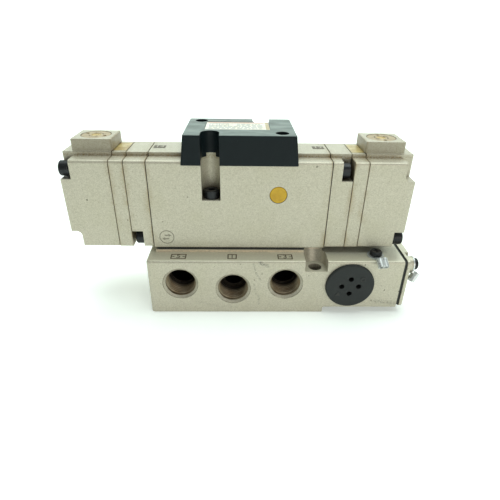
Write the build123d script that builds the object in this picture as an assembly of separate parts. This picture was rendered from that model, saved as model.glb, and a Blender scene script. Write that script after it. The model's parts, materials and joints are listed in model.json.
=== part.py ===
"""Five-port double-solenoid air valve bolted to its ported sub-plate.

Frame: millimetres, +Z up, +X towards the wiring box, -Y towards the face with the three pipe ports.
Origin: on the sub-plate's underside, midway between the two solenoids.
The valve proper is the same after half a turn about Z, so its right end is built and turned for the left.
"""
from build123d import *
import math
import os

# ---- valve section, across the length ----
VALVE_HALF_WIDTH = 17.1
STRIP_HALF_WIDTH = 9.1
BODY_BOTTOM = 32.7
END_BOTTOM = 33.3
SHOULDER_TOP = 76.3
STRIP_TOP = 78.0
SHOULDER_RADIUS = 1.5
SPOOL_AXIS_Z = 54.3

# ---- valve stack, measured from the middle ----
BODY_END = 41.8
ADAPTER_START = 42.2
ADAPTER_END = 51.8
PILOT_START = 52.1
PILOT_END = 58.4
BLOCK_START = 58.7
POCKET_FLOOR = 76.0
BLOCK_END = 80.7
POCKET_TOP_Z = 67.5
POCKET_BOTTOM_Z = 41.5
GASKET_INSET = 0.45

# ---- fasteners ----
M4_RADIUS = 2.0
M4_HEAD_RADIUS = 3.5
M4_HEAD_HEIGHT = 4.0
M3_RADIUS = 1.5
M3_HEAD_RADIUS = 2.75
STACK_SCREW_Y = 12.8
STACK_SCREW_LOW_Z = 36.8
STACK_SCREW_HIGH_Z = 71.4
NOTCH_START = 46.7

# ---- bolts that hold the valve on the sub-plate; uneven spacing stops a reversed fit ----
FRONT_BOLT_X = -13.2
REAR_BOLT_X = 10.4
BOLT_Y = 12.7
BOLT_SEAT_Z = 57.7
BOLT_END_Z = 23.5
CHANNEL_RADIUS = 4.3

# ---- round plug in the front of the body ----
FLOW_PLUG_X = 18.0
FLOW_PLUG_Z = 60.6
FLOW_PLUG_RADIUS = 4.0

# ---- spool and sleeve ----
SLEEVE_RADIUS = 8.5
SLEEVE_BORE = 5.55
SLEEVE_HALF_LENGTH = 36.0
SPOOL_RADIUS = 5.5
SPOOL_NECK = 3.4
PORT_PITCH = 12.0
PISTON_RADIUS = 8.45
PISTON_OUTER = 48.4
PISTON_INNER = 43.4
PISTON_BORE_END = 50.2
SPOOL_REST_X = -1.5

# ---- solenoid ----
COIL_X = 67.2
COIL_BORE = 7.0
COIL_FLOOR_Z = 38.0
CORE_TOP_Z = 50.0
ARMATURE_RADIUS = 3.0
ARMATURE_BOTTOM_Z = 51.3
ARMATURE_TOP_Z = 67.3
GUIDE_TOP_Z = 70.0
BOSS_HALF_WIDTH = 8.5
BOSS_END = 76.4
BOSS_LIP = 0.6
BOSS_LIP_GAP = 0.35
BOSS_TOP = 83.6
BUTTON_RADIUS = 2.0
STEM_RADIUS = 1.2
COLLAR_BOTTOM_Z = 80.2

# ---- cover over the lamps ----
COVER_TOP = 87.9
COVER_BOTTOM = 74.7
COVER_SCREW_X = 18.8
COVER_SCREW_Y = 12.4
NAMEPLATE = (-16.2, 13.9, -6.2, 10.4)
NAMEPLATE_RECESS_Z = 87.3
BOARD_Z = 79.6

# ---- sub-plate ----
BASE_LEFT = -45.0
BASE_RIGHT = 80.7
BASE_HALF_DEPTH = 26.1
BASE_TOP = 30.0
FOOT_RIGHT = 42.7
RELIEF_HEIGHT = 3.2
PAD_TOP = 31.4
PAD_HALF_WIDTH = 16.85
PIPE_PITCH = 26.0
MIDDLE_PIPE_X = -3.1
PIPE_Z = 17.1
MIDDLE_PIPE_Z = 14.2
PIPE_RADIUS = 7.47
PIPE_CHAMFER_RADIUS = 8.68
PIPE_CHAMFER_DEPTH = 1.2
PIPE_DEPTH = 12.5
DRILL_Y = 3.3
DRILL_RADIUS = 2.5
FIXING_X = 37.6
REAR_FIXING_X = -34.6
FIXING_Y = 21.3
FIXING_FLOOR_Z = 24.4
FIXING_HOLE_RADIUS = 3.25
FIXING_NOTCH_RADIUS = 5.5
FIXING_WALL_LEAN = 3.1

# ---- wiring box in the sub-plate ----
CAVITY_LEFT = 44.6
CAVITY_HALF_DEPTH = 22.6
CAVITY_BOTTOM = 6.4
CAVITY_TOP = 27.0
GROMMET_X = 55.0
GROMMET_Z = 16.7
GROMMET_HOLE_RADIUS = 10.4
GROMMET_RADIUS = 12.1
GROMMET_PROUD = 1.6
WIRE_HOLE_RADIUS = 1.35
WIRE_HOLE_CIRCLE = 4.2
END_GASKET_OUT = 82.2
END_PLATE_OUT = 84.0
END_RAISED_OUT = 85.8
END_RAISED_HALF = 16.5
EARTH_X = 67.6
EARTH_Y = -20.0
EARTH_END_Z = 25.5
EARTH_BOSS_OUT = 86.3
TERMINAL_SHEET = 0.6


# ---------------------------------------------------------------- helpers
def block(x0, x1, y0, y1, z0, z1):
    return Pos((x0 + x1) / 2, (y0 + y1) / 2, (z0 + z1) / 2) * Box(x1 - x0, y1 - y0, z1 - z0)


def rod_x(x0, x1, y, z, radius):
    return Pos((x0 + x1) / 2, y, z) * Rot(0, 90, 0) * Cylinder(radius, x1 - x0)


def rod_y(y0, y1, x, z, radius):
    return Pos(x, (y0 + y1) / 2, z) * Rot(90, 0, 0) * Cylinder(radius, y1 - y0)


def rod_z(z0, z1, x, y, radius):
    return Pos(x, y, (z0 + z1) / 2) * Cylinder(radius, z1 - z0)


def ring_z(z0, z1, x, y, outer, inner):
    return rod_z(z0, z1, x, y, outer) - rod_z(z0 - 1, z1 + 1, x, y, inner)


def ring_x(x0, x1, y, z, outer, inner):
    return rod_x(x0, x1, y, z, outer) - rod_x(x0 - 1, x1 + 1, y, z, inner)


def group(shapes):
    return Compound(children=[solid for shape in shapes for solid in shape.solids()])


def for_side(shape, side):
    """The right end as built, or turned half a turn about Z for the left end."""
    return shape if side == "right" else shape.rotate(Axis.Z, 180)


def save(name, shape):
    export_step(shape, f"parts/{name}.step")


def coil_spring(radius, wire, bottom, top, turns):
    """A round-wire compression spring on the Z axis, its wire's ends level with bottom and top."""
    rise = top - bottom - 2 * wire
    path = Helix(pitch=rise / turns, height=rise, radius=radius)
    section = Plane(origin=path @ 0, z_dir=path % 0) * Circle(wire)
    return Pos(0, 0, bottom + wire) * sweep(section, path=path, is_frenet=True)


# ---------------------------------------------------------------- fasteners
def cap_screw(radius, head_radius, head_height, length):
    """Socket-head screw on Z: seat of the head at the origin, shank downwards."""
    head = rod_z(0, head_height, 0, 0, head_radius)
    head = chamfer(head.edges().filter_by(GeomType.CIRCLE).sort_by(Axis.Z)[-1], 0.35)
    socket = extrude(Pos(0, 0, head_height) * RegularPolygon(head_radius * 0.43, 6, major_radius=False),
                     -head_height * 0.55)
    shank = rod_z(-length, 0, 0, 0, radius)
    return (head - socket) + shank


def pan_screw(radius, head_radius, head_height, length):
    """Cross-recess pan-head screw on Z with its spring washer: seat at the origin."""
    washer = 0.5
    head = rod_z(washer, washer + head_height, 0, 0, head_radius)
    head = fillet(head.edges().filter_by(GeomType.CIRCLE).sort_by(Axis.Z)[-1], head_height * 0.45)
    top = washer + head_height
    for angle in (0, 90):
        arm = Rot(0, 0, angle) * block(-head_radius * 0.55, head_radius * 0.55, -0.35, 0.35, top - 1.3, top + 1)
        head = head - arm
    shank = rod_z(-length, washer, 0, 0, radius)
    spring_washer = rod_z(0, washer, 0, 0, head_radius * 0.82)
    spring_washer = spring_washer - block(0, head_radius, -0.3, 0.3, -0.1, washer - 0.2)
    return head + spring_washer + shank


# ---------------------------------------------------------------- valve section
def section_face(bottom, inset=0.0):
    half = VALVE_HALF_WIDTH - inset
    strip = STRIP_HALF_WIDTH - inset
    shoulder = SHOULDER_TOP - inset
    top = STRIP_TOP - inset
    low = bottom + inset
    outline = Polyline((-half, low), (half, low), (half, shoulder), (strip, shoulder), (strip, top),
                       (-strip, top), (-strip, shoulder), (-half, shoulder), close=True)
    face = make_face(outline)
    corners = face.vertices().filter_by(lambda v: abs(abs(v.X) - half) < 0.01 and v.Y > 60)
    face = fillet(corners, SHOULDER_RADIUS - inset)
    lower = face.vertices().filter_by(lambda v: v.Y < bottom + 1)
    return fillet(lower, 0.6)


def section_bar(x0, x1, bottom, inset=0.0):
    return extrude(Plane.YZ.offset(x0) * section_face(bottom, inset), x1 - x0)


def stack_screw_places(kind):
    """Right-end screw places as (y, z): the adapter screws and end screws take opposite diagonals."""
    if kind == "adapter":
        return [(-STACK_SCREW_Y, STACK_SCREW_HIGH_Z), (STACK_SCREW_Y, STACK_SCREW_LOW_Z)]
    return [(-STACK_SCREW_Y, STACK_SCREW_LOW_Z), (STACK_SCREW_Y, STACK_SCREW_HIGH_Z)]


def drill_stack(shape, x0, x1, kinds):
    for kind in kinds:
        for y, z in stack_screw_places(kind):
            shape = shape - rod_x(x0, x1, y, z, M4_RADIUS)
    return shape


# ---------------------------------------------------------------- bolt channels
def channel(side, bottom, top, radius):
    """U-shaped channel, open to the front or the rear."""
    x = FRONT_BOLT_X if side == "front" else REAR_BOLT_X
    sign = -1 if side == "front" else 1
    round_back = rod_z(bottom, top, x, sign * BOLT_Y, radius)
    reach = sign * (BOLT_Y + 12)
    near = min(sign * BOLT_Y, reach)
    far = max(sign * BOLT_Y, reach)
    return round_back + block(x - radius, x + radius, near, far, bottom, top)


def bolt_places():
    return [(FRONT_BOLT_X, -BOLT_Y), (REAR_BOLT_X, BOLT_Y)]


def cover_screw_places():
    return [(COVER_SCREW_X, -COVER_SCREW_Y), (-COVER_SCREW_X, COVER_SCREW_Y)]


def port_slot(x, z0, z1):
    """Oval air passage across the valve, as wide as half the port pitch."""
    oval = SlotOverall(12.0, 6.0, rotation=90)
    return extrude(Pos(x, 0, z0) * oval, z1 - z0)


# ---------------------------------------------------------------- valve body and its inside
def valve_body():
    body = section_bar(-BODY_END, BODY_END, BODY_BOTTOM)
    body = body - rod_x(-BODY_END - 1, BODY_END + 1, 0, SPOOL_AXIS_Z, SLEEVE_RADIUS)
    for step in range(-2, 3):
        body = body - port_slot(step * PORT_PITCH, BODY_BOTTOM - 1, SPOOL_AXIS_Z - 6)
    for side in ("front", "rear"):
        body = body - channel(side, BOLT_SEAT_Z, STRIP_TOP + 1, CHANNEL_RADIUS)
    for x, y in bolt_places():
        body = body - rod_z(BODY_BOTTOM - 1, BOLT_SEAT_Z + 1, x, y, M4_RADIUS + 0.25)
    for x, y in cover_screw_places():
        body = body - rod_z(68.0, STRIP_TOP, x, y, M3_RADIUS)
    body = body - rod_y(-VALVE_HALF_WIDTH - 1, -13.9, FLOW_PLUG_X, FLOW_PLUG_Z, FLOW_PLUG_RADIUS + 0.15)
    body = body - block(33.8, 40.8, -7, 7, BODY_BOTTOM - 1, 38.0)
    ends = [for_side(rod_x(34.0, BODY_END + 1, y, z, M4_RADIUS), side)
            for side in ("left", "right") for y, z in stack_screw_places("adapter")]
    for hole in ends:
        body = body - hole
    return body


def flow_plug():
    plug = rod_y(-VALVE_HALF_WIDTH + 0.05, -13.9, FLOW_PLUG_X, FLOW_PLUG_Z, FLOW_PLUG_RADIUS)
    rim = plug.edges().filter_by(GeomType.CIRCLE).sort_by(Axis.Y)[0]
    return fillet(rim, 0.3)


def sleeve():
    tube = ring_x(-SLEEVE_HALF_LENGTH, SLEEVE_HALF_LENGTH, 0, SPOOL_AXIS_Z, SLEEVE_RADIUS, SLEEVE_BORE)
    for step in range(-2, 3):
        x = step * PORT_PITCH
        tube = tube - ring_x(x - 2.6, x + 2.6, 0, SPOOL_AXIS_Z, SLEEVE_RADIUS + 1, SLEEVE_RADIUS - 1.2)
        for angle in (0, 60, 120):
            window = Pos(x, 0, SPOOL_AXIS_Z) * Rot(angle, 0, 0) * Box(3.2, 3.2, 2 * SLEEVE_RADIUS)
            tube = tube - window
    for x in seal_places():
        tube = tube - ring_x(x - 0.8, x + 0.8, 0, SPOOL_AXIS_Z, SLEEVE_RADIUS + 1, SLEEVE_RADIUS - 1.0)
    return tube


def seal_places():
    return [(step + 0.5) * PORT_PITCH for step in range(-3, 3)]


def sleeve_seals():
    return group([ring_x(x - 0.8, x + 0.8, 0, SPOOL_AXIS_Z, SLEEVE_RADIUS, SLEEVE_RADIUS - 1.0)
                  for x in seal_places()])


def spool():
    """Three lands and two necks, with a thin rod at each end for the pistons."""
    lands = [(-34.4, -18.5), (-5.5, 5.5), (18.5, 34.4)]
    shape = rod_x(-34.4, 34.4, 0, 0, SPOOL_NECK)
    for x0, x1 in lands:
        land = rod_x(x0, x1, 0, 0, SPOOL_RADIUS)
        shape = shape + chamfer(land.edges().filter_by(GeomType.CIRCLE), 0.2)
    shape = shape + rod_x(-PISTON_INNER, PISTON_INNER, 0, 0, 2.5)
    shape = shape + rod_x(-PISTON_INNER - 3, PISTON_INNER + 3, 0, 0, 1.8)
    return Pos(SPOOL_REST_X, 0, SPOOL_AXIS_Z) * shape


def piston(sign):
    x0 = min(sign * PISTON_INNER, sign * PISTON_OUTER)
    x1 = max(sign * PISTON_INNER, sign * PISTON_OUTER)
    shape = rod_x(x0, x1, 0, 0, PISTON_RADIUS)
    middle = (x0 + x1) / 2
    shape = shape - ring_x(middle - 0.9, middle + 0.9, 0, 0, PISTON_RADIUS + 1, PISTON_RADIUS - 1.3)
    shape = shape - rod_x(-PISTON_INNER - 3, PISTON_INNER + 3, 0, 0, 1.8)
    return Pos(SPOOL_REST_X, 0, SPOOL_AXIS_Z) * shape


def piston_seals():
    middle = (PISTON_INNER + PISTON_OUTER) / 2
    rings = [ring_x(x - 0.9, x + 0.9, 0, 0, PISTON_RADIUS, PISTON_RADIUS - 1.3) for x in (-middle, middle)]
    return Pos(SPOOL_REST_X, 0, SPOOL_AXIS_Z) * group(rings)


def body_bolts():
    length = BOLT_SEAT_Z - BOLT_END_Z
    bolt = cap_screw(M4_RADIUS, M4_HEAD_RADIUS, M4_HEAD_HEIGHT, length)
    return group([Pos(x, y, BOLT_SEAT_Z) * bolt for x, y in bolt_places()])


def valve_plug():
    """Connector under the body: a moulded block with its row of pins pointing down."""
    shape = block(34.0, 40.6, -6.8, 6.8, BODY_BOTTOM, 38.0)
    for index in range(4):
        shape = shape + block(36.9, 37.7, -4.9 + index * 3, -4.1 + index * 3, 26.0, BODY_BOTTOM + 1)
    return shape


# ---------------------------------------------------------------- end stack, built for the right end
def adapter_gasket():
    sheet = section_bar(BODY_END, ADAPTER_START, END_BOTTOM, GASKET_INSET)
    sheet = sheet - rod_x(BODY_END - 1, ADAPTER_START + 1, 0, SPOOL_AXIS_Z, SLEEVE_RADIUS)
    return drill_stack(sheet, BODY_END - 1, ADAPTER_START + 1, ["adapter"])


def adapter_plate():
    plate = section_bar(ADAPTER_START, ADAPTER_END, END_BOTTOM)
    plate = plate - rod_x(ADAPTER_START - 1, PISTON_BORE_END, 0, SPOOL_AXIS_Z, SLEEVE_RADIUS)
    plate = plate - rod_x(PISTON_BORE_END - 1, ADAPTER_END + 1, 0, SPOOL_AXIS_Z, 1.0)
    plate = drill_stack(plate, ADAPTER_START - 1, ADAPTER_END + 1, ["adapter"])
    plate = drill_stack(plate, 44.0, ADAPTER_END + 1, ["end"])
    far = ADAPTER_END + 1
    wide = VALVE_HALF_WIDTH + 1
    plate = plate - block(NOTCH_START, far, -wide, -STRIP_HALF_WIDTH, POCKET_TOP_Z, STRIP_TOP + 1)
    plate = plate - block(NOTCH_START, far, STRIP_HALF_WIDTH, wide, END_BOTTOM - 1, POCKET_BOTTOM_Z)
    return plate


def adapter_screws():
    length = NOTCH_START - 34.8
    screw = cap_screw(M4_RADIUS, M4_HEAD_RADIUS, M4_HEAD_HEIGHT, length)
    placed = [Pos(NOTCH_START, y, z) * Rot(0, 90, 0) * screw for y, z in stack_screw_places("adapter")]
    return group([for_side(item, side) for side in ("left", "right") for item in placed])


def pilot_gaskets():
    sheets = []
    for x0, x1 in ((ADAPTER_END, PILOT_START), (PILOT_END, BLOCK_START)):
        sheet = section_bar(x0, x1, END_BOTTOM, GASKET_INSET)
        sheet = sheet - rod_x(x0 - 1, x1 + 1, 0, SPOOL_AXIS_Z, 1.6)
        wide = VALVE_HALF_WIDTH + 1
        sheet = sheet - block(x0 - 1, x1 + 1, -wide, -STRIP_HALF_WIDTH, POCKET_TOP_Z, STRIP_TOP)
        sheet = sheet - block(x0 - 1, x1 + 1, STRIP_HALF_WIDTH, wide, END_BOTTOM - 1, POCKET_BOTTOM_Z)
        sheets.append(drill_stack(sheet, x0 - 1, x1 + 1, ["end"]))
    return group(sheets)


def pilot_plate():
    plate = section_bar(PILOT_START, PILOT_END, END_BOTTOM)
    plate = plate - rod_x(PILOT_START - 1, PILOT_END + 1, 0, SPOOL_AXIS_Z, 1.0)
    return drill_stack(plate, PILOT_START - 1, PILOT_END + 1, ["end"])


def end_pocket(front, top):
    """Corner cut-out at the outer face. The corner with no screw has a hollow fillet at its inner corner."""
    wide = VALVE_HALF_WIDTH + 1
    far = BLOCK_END + 1
    y0 = -wide if front else (STRIP_HALF_WIDTH if top else 0)
    y1 = (-STRIP_HALF_WIDTH if top else 0) if front else wide
    z0 = POCKET_TOP_Z if top else END_BOTTOM - 1
    z1 = STRIP_TOP + 1 if top else POCKET_BOTTOM_Z
    cut = block(POCKET_FLOOR, far, y0, y1, z0, z1)
    if front == top:
        edge_z = z0 if top else z1
        inner = cut.edges().filter_by(Axis.Y).filter_by(
            lambda e: abs(e.center().X - POCKET_FLOOR) < 0.01 and abs(e.center().Z - edge_z) < 0.01)
        cut = fillet(inner, 2.5)
    return cut


def solenoid_block():
    shape = section_bar(BLOCK_START, BLOCK_END, END_BOTTOM + 0.2)
    boss = block(BLOCK_START, BOSS_END, -BOSS_HALF_WIDTH, BOSS_HALF_WIDTH, STRIP_TOP - 2, BOSS_TOP)
    boss = boss + block(BLOCK_START - BOSS_LIP, BLOCK_START + 1, -BOSS_HALF_WIDTH, BOSS_HALF_WIDTH,
                        STRIP_TOP + BOSS_LIP_GAP, BOSS_TOP)
    boss = fillet(boss.edges().filter_by(lambda e: e.center().Z > STRIP_TOP + 1), 0.35)
    shape = shape + boss
    for front in (True, False):
        for top in (True, False):
            shape = shape - end_pocket(front, top)
    shape = shape - rod_z(COIL_FLOOR_Z, BOSS_TOP + 1, COIL_X, 0, COIL_BORE)
    shape = shape - rod_x(BLOCK_START - 1, COIL_X - 3, 0, SPOOL_AXIS_Z + 18, 1.0)
    return drill_stack(shape, BLOCK_START - 1, BLOCK_END + 1, ["end"])


def end_screws():
    """Cap screws with captive plain and spring washers."""
    washer = 0.5
    spring = 0.8
    length = POCKET_FLOOR - 44.0 + washer + spring
    screw = Pos(0, 0, washer + spring) * cap_screw(M4_RADIUS, M4_HEAD_RADIUS, M4_HEAD_HEIGHT, length)
    screw = screw + rod_z(0, washer, 0, 0, 3.6) + rod_z(washer, washer + spring, 0, 0, 3.3)
    placed = [Pos(POCKET_FLOOR, y, z) * Rot(0, 90, 0) * screw for y, z in stack_screw_places("end")]
    return group([for_side(item, side) for side in ("left", "right") for item in placed])


# ---------------------------------------------------------------- solenoid inside, on its own Z axis
def fixed_core():
    return rod_z(COIL_FLOOR_Z, 40.0, 0, 0, 6.9) + rod_z(40.0, CORE_TOP_Z, 0, 0, ARMATURE_RADIUS + 0.05)


def coil_bobbin():
    shape = rod_z(40.0, 41.2, 0, 0, 6.8)
    shape = shape + rod_z(41.2, 64.8, 0, 0, 3.9)
    shape = shape + rod_z(64.8, GUIDE_TOP_Z, 0, 0, 6.8)
    shape = shape - rod_z(39.0, 68.6, 0, 0, ARMATURE_RADIUS + 0.05)
    return shape - rod_z(68.0, GUIDE_TOP_Z + 1, 0, 0, STEM_RADIUS + 0.06)


def coil_winding():
    return ring_z(41.2, 64.8, 0, 0, 6.5, 3.9)


def armature():
    shape = rod_z(ARMATURE_BOTTOM_Z, ARMATURE_TOP_Z, 0, 0, ARMATURE_RADIUS)
    shape = chamfer(shape.edges().filter_by(GeomType.CIRCLE), 0.3)
    return shape - rod_z(ARMATURE_BOTTOM_Z - 1, ARMATURE_BOTTOM_Z + 6, 0, 0, 1.9)


def armature_spring():
    return coil_spring(1.4, 0.2, CORE_TOP_Z, ARMATURE_BOTTOM_Z + 6, 7)


def override_disc(turn):
    """Threaded retainer that closes the solenoid bore, with two pin-spanner holes."""
    disc = rod_z(79.5, BOSS_TOP - 0.1, 0, 0, COIL_BORE)
    disc = chamfer(disc.edges().filter_by(GeomType.CIRCLE).sort_by(Axis.Z)[-1], 0.3)
    disc = disc - rod_z(79.0, 81.3, 0, 0, 3.4)
    disc = disc - rod_z(80.0, BOSS_TOP + 1, 0, 0, BUTTON_RADIUS + 0.06)
    for angle in (turn, turn + 180):
        hole = rod_z(BOSS_TOP - 1.8, BOSS_TOP + 1, 4.9, 0, 0.85)
        disc = disc - Rot(0, 0, angle) * hole
    return disc


def override_button():
    head = rod_z(81.2, BOSS_TOP - 0.2, 0, 0, BUTTON_RADIUS)
    head = fillet(head.edges().filter_by(GeomType.CIRCLE).sort_by(Axis.Z)[-1], 0.35)
    slot = block(-1.4, 1.4, -0.25, 0.25, BOSS_TOP - 0.75, BOSS_TOP)
    collar = rod_z(COLLAR_BOTTOM_Z, 81.2, 0, 0, 3.2)
    stem = rod_z(ARMATURE_TOP_Z + 0.05, COLLAR_BOTTOM_Z, 0, 0, STEM_RADIUS)
    return (head - slot) + collar + stem


def override_spring():
    return coil_spring(2.2, 0.25, GUIDE_TOP_Z, COLLAR_BOTTOM_Z, 7)


def pilot_labels():
    label = block(52.4, 58.2, -6.6, 6.6, STRIP_TOP, STRIP_TOP + 0.12)
    return group([for_side(label, side) for side in ("left", "right")])


# ---------------------------------------------------------------- cover, board and nameplate
def cover_shell():
    low = Pos(0, 0, COVER_BOTTOM) * RectangleRounded(2 * 26.4, 2 * 18.25, 1.0)
    high = Pos(0, 0, COVER_TOP) * RectangleRounded(2 * 24.9, 2 * 17.5, 0.9)
    shell = loft([low, high])
    return fillet(shell.faces().sort_by(Axis.Z)[-1].edges(), 0.45)


def top_cover():
    cover = cover_shell()
    cover = cover - section_bar(-40, 40, 60.0)
    inside = block(-22.8, 22.8, -15.8, 15.8, 70, 85.8)
    wall = 1.6
    for side in ("front", "rear"):
        inside = inside - channel(side, 60, 90, CHANNEL_RADIUS + wall)
    for x, y in cover_screw_places():
        inside = inside - rod_z(60, 90, x, y, 4.4)
    for x in (-19.0, 19.0):
        for y in (-5.0, 5.0):
            inside = inside - rod_z(BOARD_Z + 1.6, 90, x, y, 1.3)
    cover = cover - inside
    for side in ("front", "rear"):
        cover = cover - channel(side, 60, 90, CHANNEL_RADIUS - 0.1)
    for x, y in cover_screw_places():
        cover = cover - rod_z(60, 90, x, y, M3_RADIUS)
        cover = cover - rod_z(82.0, 90, x, y, 3.0)
    x0, x1, y0, y1 = NAMEPLATE
    return cover - block(x0, x1, y0, y1, NAMEPLATE_RECESS_Z, COVER_TOP + 1)


def nameplate():
    x0, x1, y0, y1 = NAMEPLATE
    plate = block(x0 + 0.15, x1 - 0.15, y0 + 0.15, y1 - 0.15, NAMEPLATE_RECESS_Z, NAMEPLATE_RECESS_Z + 0.4)
    return fillet(plate.edges().filter_by(Axis.Z), 0.5)


def cover_gasket():
    """Soft strip between the cover's walls and the body's raised strip."""
    outer = block(-22.6, 22.6, -STRIP_HALF_WIDTH + 0.2, STRIP_HALF_WIDTH - 0.2, STRIP_TOP, STRIP_TOP + 0.8)
    outer = outer - block(-20.6, 20.6, -6.6, 6.6, STRIP_TOP - 1, STRIP_TOP + 2)
    for side in ("front", "rear"):
        outer = outer - channel(side, 60, 90, CHANNEL_RADIUS + 1.6)
    for x, y in cover_screw_places():
        outer = outer - rod_z(60, 90, x, y, 4.4)
    return outer


def cover_screws():
    screw = cap_screw(M3_RADIUS, M3_HEAD_RADIUS, 3.0, 14.0)
    return group([Pos(x, y, 82.0) * screw for x, y in cover_screw_places()])


def circuit_board():
    board = block(-21.0, 21.0, -6.4, 6.4, BOARD_Z, BOARD_Z + 1.6)
    parts = [block(-15, -9, -3, 3, BOARD_Z + 1.6, BOARD_Z + 4.2),
             block(7, 14, -2.5, 2.5, BOARD_Z + 1.6, BOARD_Z + 3.4),
             rod_z(BOARD_Z + 1.6, BOARD_Z + 5.2, -4.5, 0, 2.2)]
    for part in parts:
        board = board + part
    return board


def indicator_lamps():
    lamps = []
    for x in (1.0, 4.6):
        body = rod_z(BOARD_Z + 1.6, BOARD_Z + 4.4, x, 0, 1.5)
        lamps.append(fillet(body.edges().filter_by(GeomType.CIRCLE).sort_by(Axis.Z)[-1], 1.2))
    return group(lamps)


# ---------------------------------------------------------------- sub-plate
def pipe_port(x, z, front, inner_radius):
    """Threaded port with its countersink, then the passage behind it, as one cutting shape."""
    face = -BASE_HALF_DEPTH
    thread = rod_y(face - 1, face + PIPE_DEPTH, x, z, PIPE_RADIUS)
    sink = Pos(x, face + PIPE_CHAMFER_DEPTH / 2, z) * Rot(-90, 0, 0) * Cone(
        PIPE_CHAMFER_RADIUS, PIPE_RADIUS, PIPE_CHAMFER_DEPTH)
    passage = rod_y(face + PIPE_DEPTH - 1, -0.5, x, z, inner_radius)
    shape = thread + sink + passage
    return shape if front else mirror(shape, about=Plane.XZ)


def front_pipes():
    return [(MIDDLE_PIPE_X - PIPE_PITCH, PIPE_Z, 6.6), (MIDDLE_PIPE_X, MIDDLE_PIPE_Z, 5.2),
            (MIDDLE_PIPE_X + PIPE_PITCH, PIPE_Z, 6.6)]


def rear_pipes():
    return [(MIDDLE_PIPE_X - PIPE_PITCH / 2, MIDDLE_PIPE_Z, 6.0),
            (MIDDLE_PIPE_X + PIPE_PITCH / 2, MIDDLE_PIPE_Z, 6.0)]


def fixing_notch(x, y_sign):
    """U-shaped notch whose walls lean back as they rise, and the fixing hole through its floor."""
    profile = Circle(FIXING_NOTCH_RADIUS) + Pos(0, -15) * Rectangle(2 * FIXING_NOTCH_RADIUS, 30)
    rise = BASE_TOP - FIXING_FLOOR_Z
    lean = Vector(0, FIXING_WALL_LEAN, rise)
    height = 1.6 * rise
    notch = extrude(profile, height * lean.length / rise, dir=(lean.X, lean.Y, lean.Z))
    notch = Pos(x, -FIXING_Y, FIXING_FLOOR_Z) * notch
    notch = notch + rod_z(-1, FIXING_FLOOR_Z + 1, x, -FIXING_Y, FIXING_HOLE_RADIUS)
    return notch if y_sign < 0 else mirror(notch, about=Plane.XZ)


def base_block():
    shape = block(BASE_LEFT, BASE_RIGHT, -BASE_HALF_DEPTH, BASE_HALF_DEPTH, 0, BASE_TOP)
    left_corners = shape.edges().filter_by(Axis.Z).sort_by(Axis.X)[:2]
    shape = fillet(left_corners, 2.2)
    top = shape.faces().sort_by(Axis.Z)[-1].edges().filter_by(lambda e: e.center().X < BASE_RIGHT - 1)
    shape = fillet(top, 1.3)
    pad = block(-BODY_END, BODY_END, -PAD_HALF_WIDTH, PAD_HALF_WIDTH, BASE_TOP - 1, PAD_TOP)
    shape = shape + fillet(pad.edges().filter_by(Axis.Z), 1.0)
    relief = block(FOOT_RIGHT, BASE_RIGHT + 1, -BASE_HALF_DEPTH - 1, BASE_HALF_DEPTH + 1, -1, RELIEF_HEIGHT)
    relief = fillet(relief.edges().filter_by(Axis.Y).sort_by(Axis.X)[:2].sort_by(Axis.Z)[-1], 0.9)
    shape = shape - relief
    for x, z, inner in front_pipes():
        shape = shape - pipe_port(x, z, True, inner)
    for x, z, inner in rear_pipes():
        shape = shape - pipe_port(x, z, False, inner)
    for step in range(-2, 3):
        x = step * PORT_PITCH
        shape = shape - port_slot(x, PAD_TOP - 3, PAD_TOP + 1)
        y = DRILL_Y if step % 2 else -DRILL_Y
        shape = shape - rod_z(MIDDLE_PIPE_Z + 2, PAD_TOP - 2, x, y, DRILL_RADIUS)
    for x, y in bolt_places():
        shape = shape - rod_z(BOLT_END_Z - 1, PAD_TOP + 1, x, y, M4_RADIUS)
    shape = shape - fixing_notch(FIXING_X, -1)
    shape = shape - fixing_notch(REAR_FIXING_X, 1)
    return cut_wiring_box(shape)


def cut_wiring_box(shape):
    cavity = block(CAVITY_LEFT, BASE_RIGHT + 1, -CAVITY_HALF_DEPTH, CAVITY_HALF_DEPTH, CAVITY_BOTTOM, CAVITY_TOP)
    cavity = fillet(cavity.edges().filter_by(Axis.X), 2.5)
    for y, z in end_screw_places():
        cavity = cavity - rod_x(BASE_RIGHT - 12, BASE_RIGHT + 2, y, z, 3.4)
        cavity = cavity - end_screw_rib(y, z)
    cavity = cavity - rod_z(20.5, CAVITY_TOP + 1, EARTH_X, EARTH_Y, 3.2)
    cavity = cavity - block(EARTH_X - 3.2, EARTH_X + 3.2, -CAVITY_HALF_DEPTH - 1, EARTH_Y, 20.5, CAVITY_TOP + 1)
    shape = shape - cavity
    shape = shape - rod_y(-BASE_HALF_DEPTH - 1, -CAVITY_HALF_DEPTH + 1, GROMMET_X, GROMMET_Z, GROMMET_HOLE_RADIUS)
    shape = shape - rod_z(22.0, BASE_TOP + 1, EARTH_X, EARTH_Y, M3_RADIUS)
    for y, z in end_screw_places():
        shape = shape - rod_x(BASE_RIGHT - 9, BASE_RIGHT + 1, y, z, M3_RADIUS)
    shape = shape - rod_x(BASE_RIGHT - 6.2, BASE_RIGHT + 1, EARTH_Y - 4.0, EARTH_END_Z, M3_RADIUS)
    socket_pocket = block(33.8, 40.8, -7.0, 7.0, 21.0, PAD_TOP + 1)
    duct = block(40.0, CAVITY_LEFT + 1, -5.0, 5.0, 21.5, 26.0)
    return shape - socket_pocket - duct


def end_screw_places():
    return [(20.2, 23.6), (-14.5, 9.5), (14.5, 9.5)]


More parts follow.
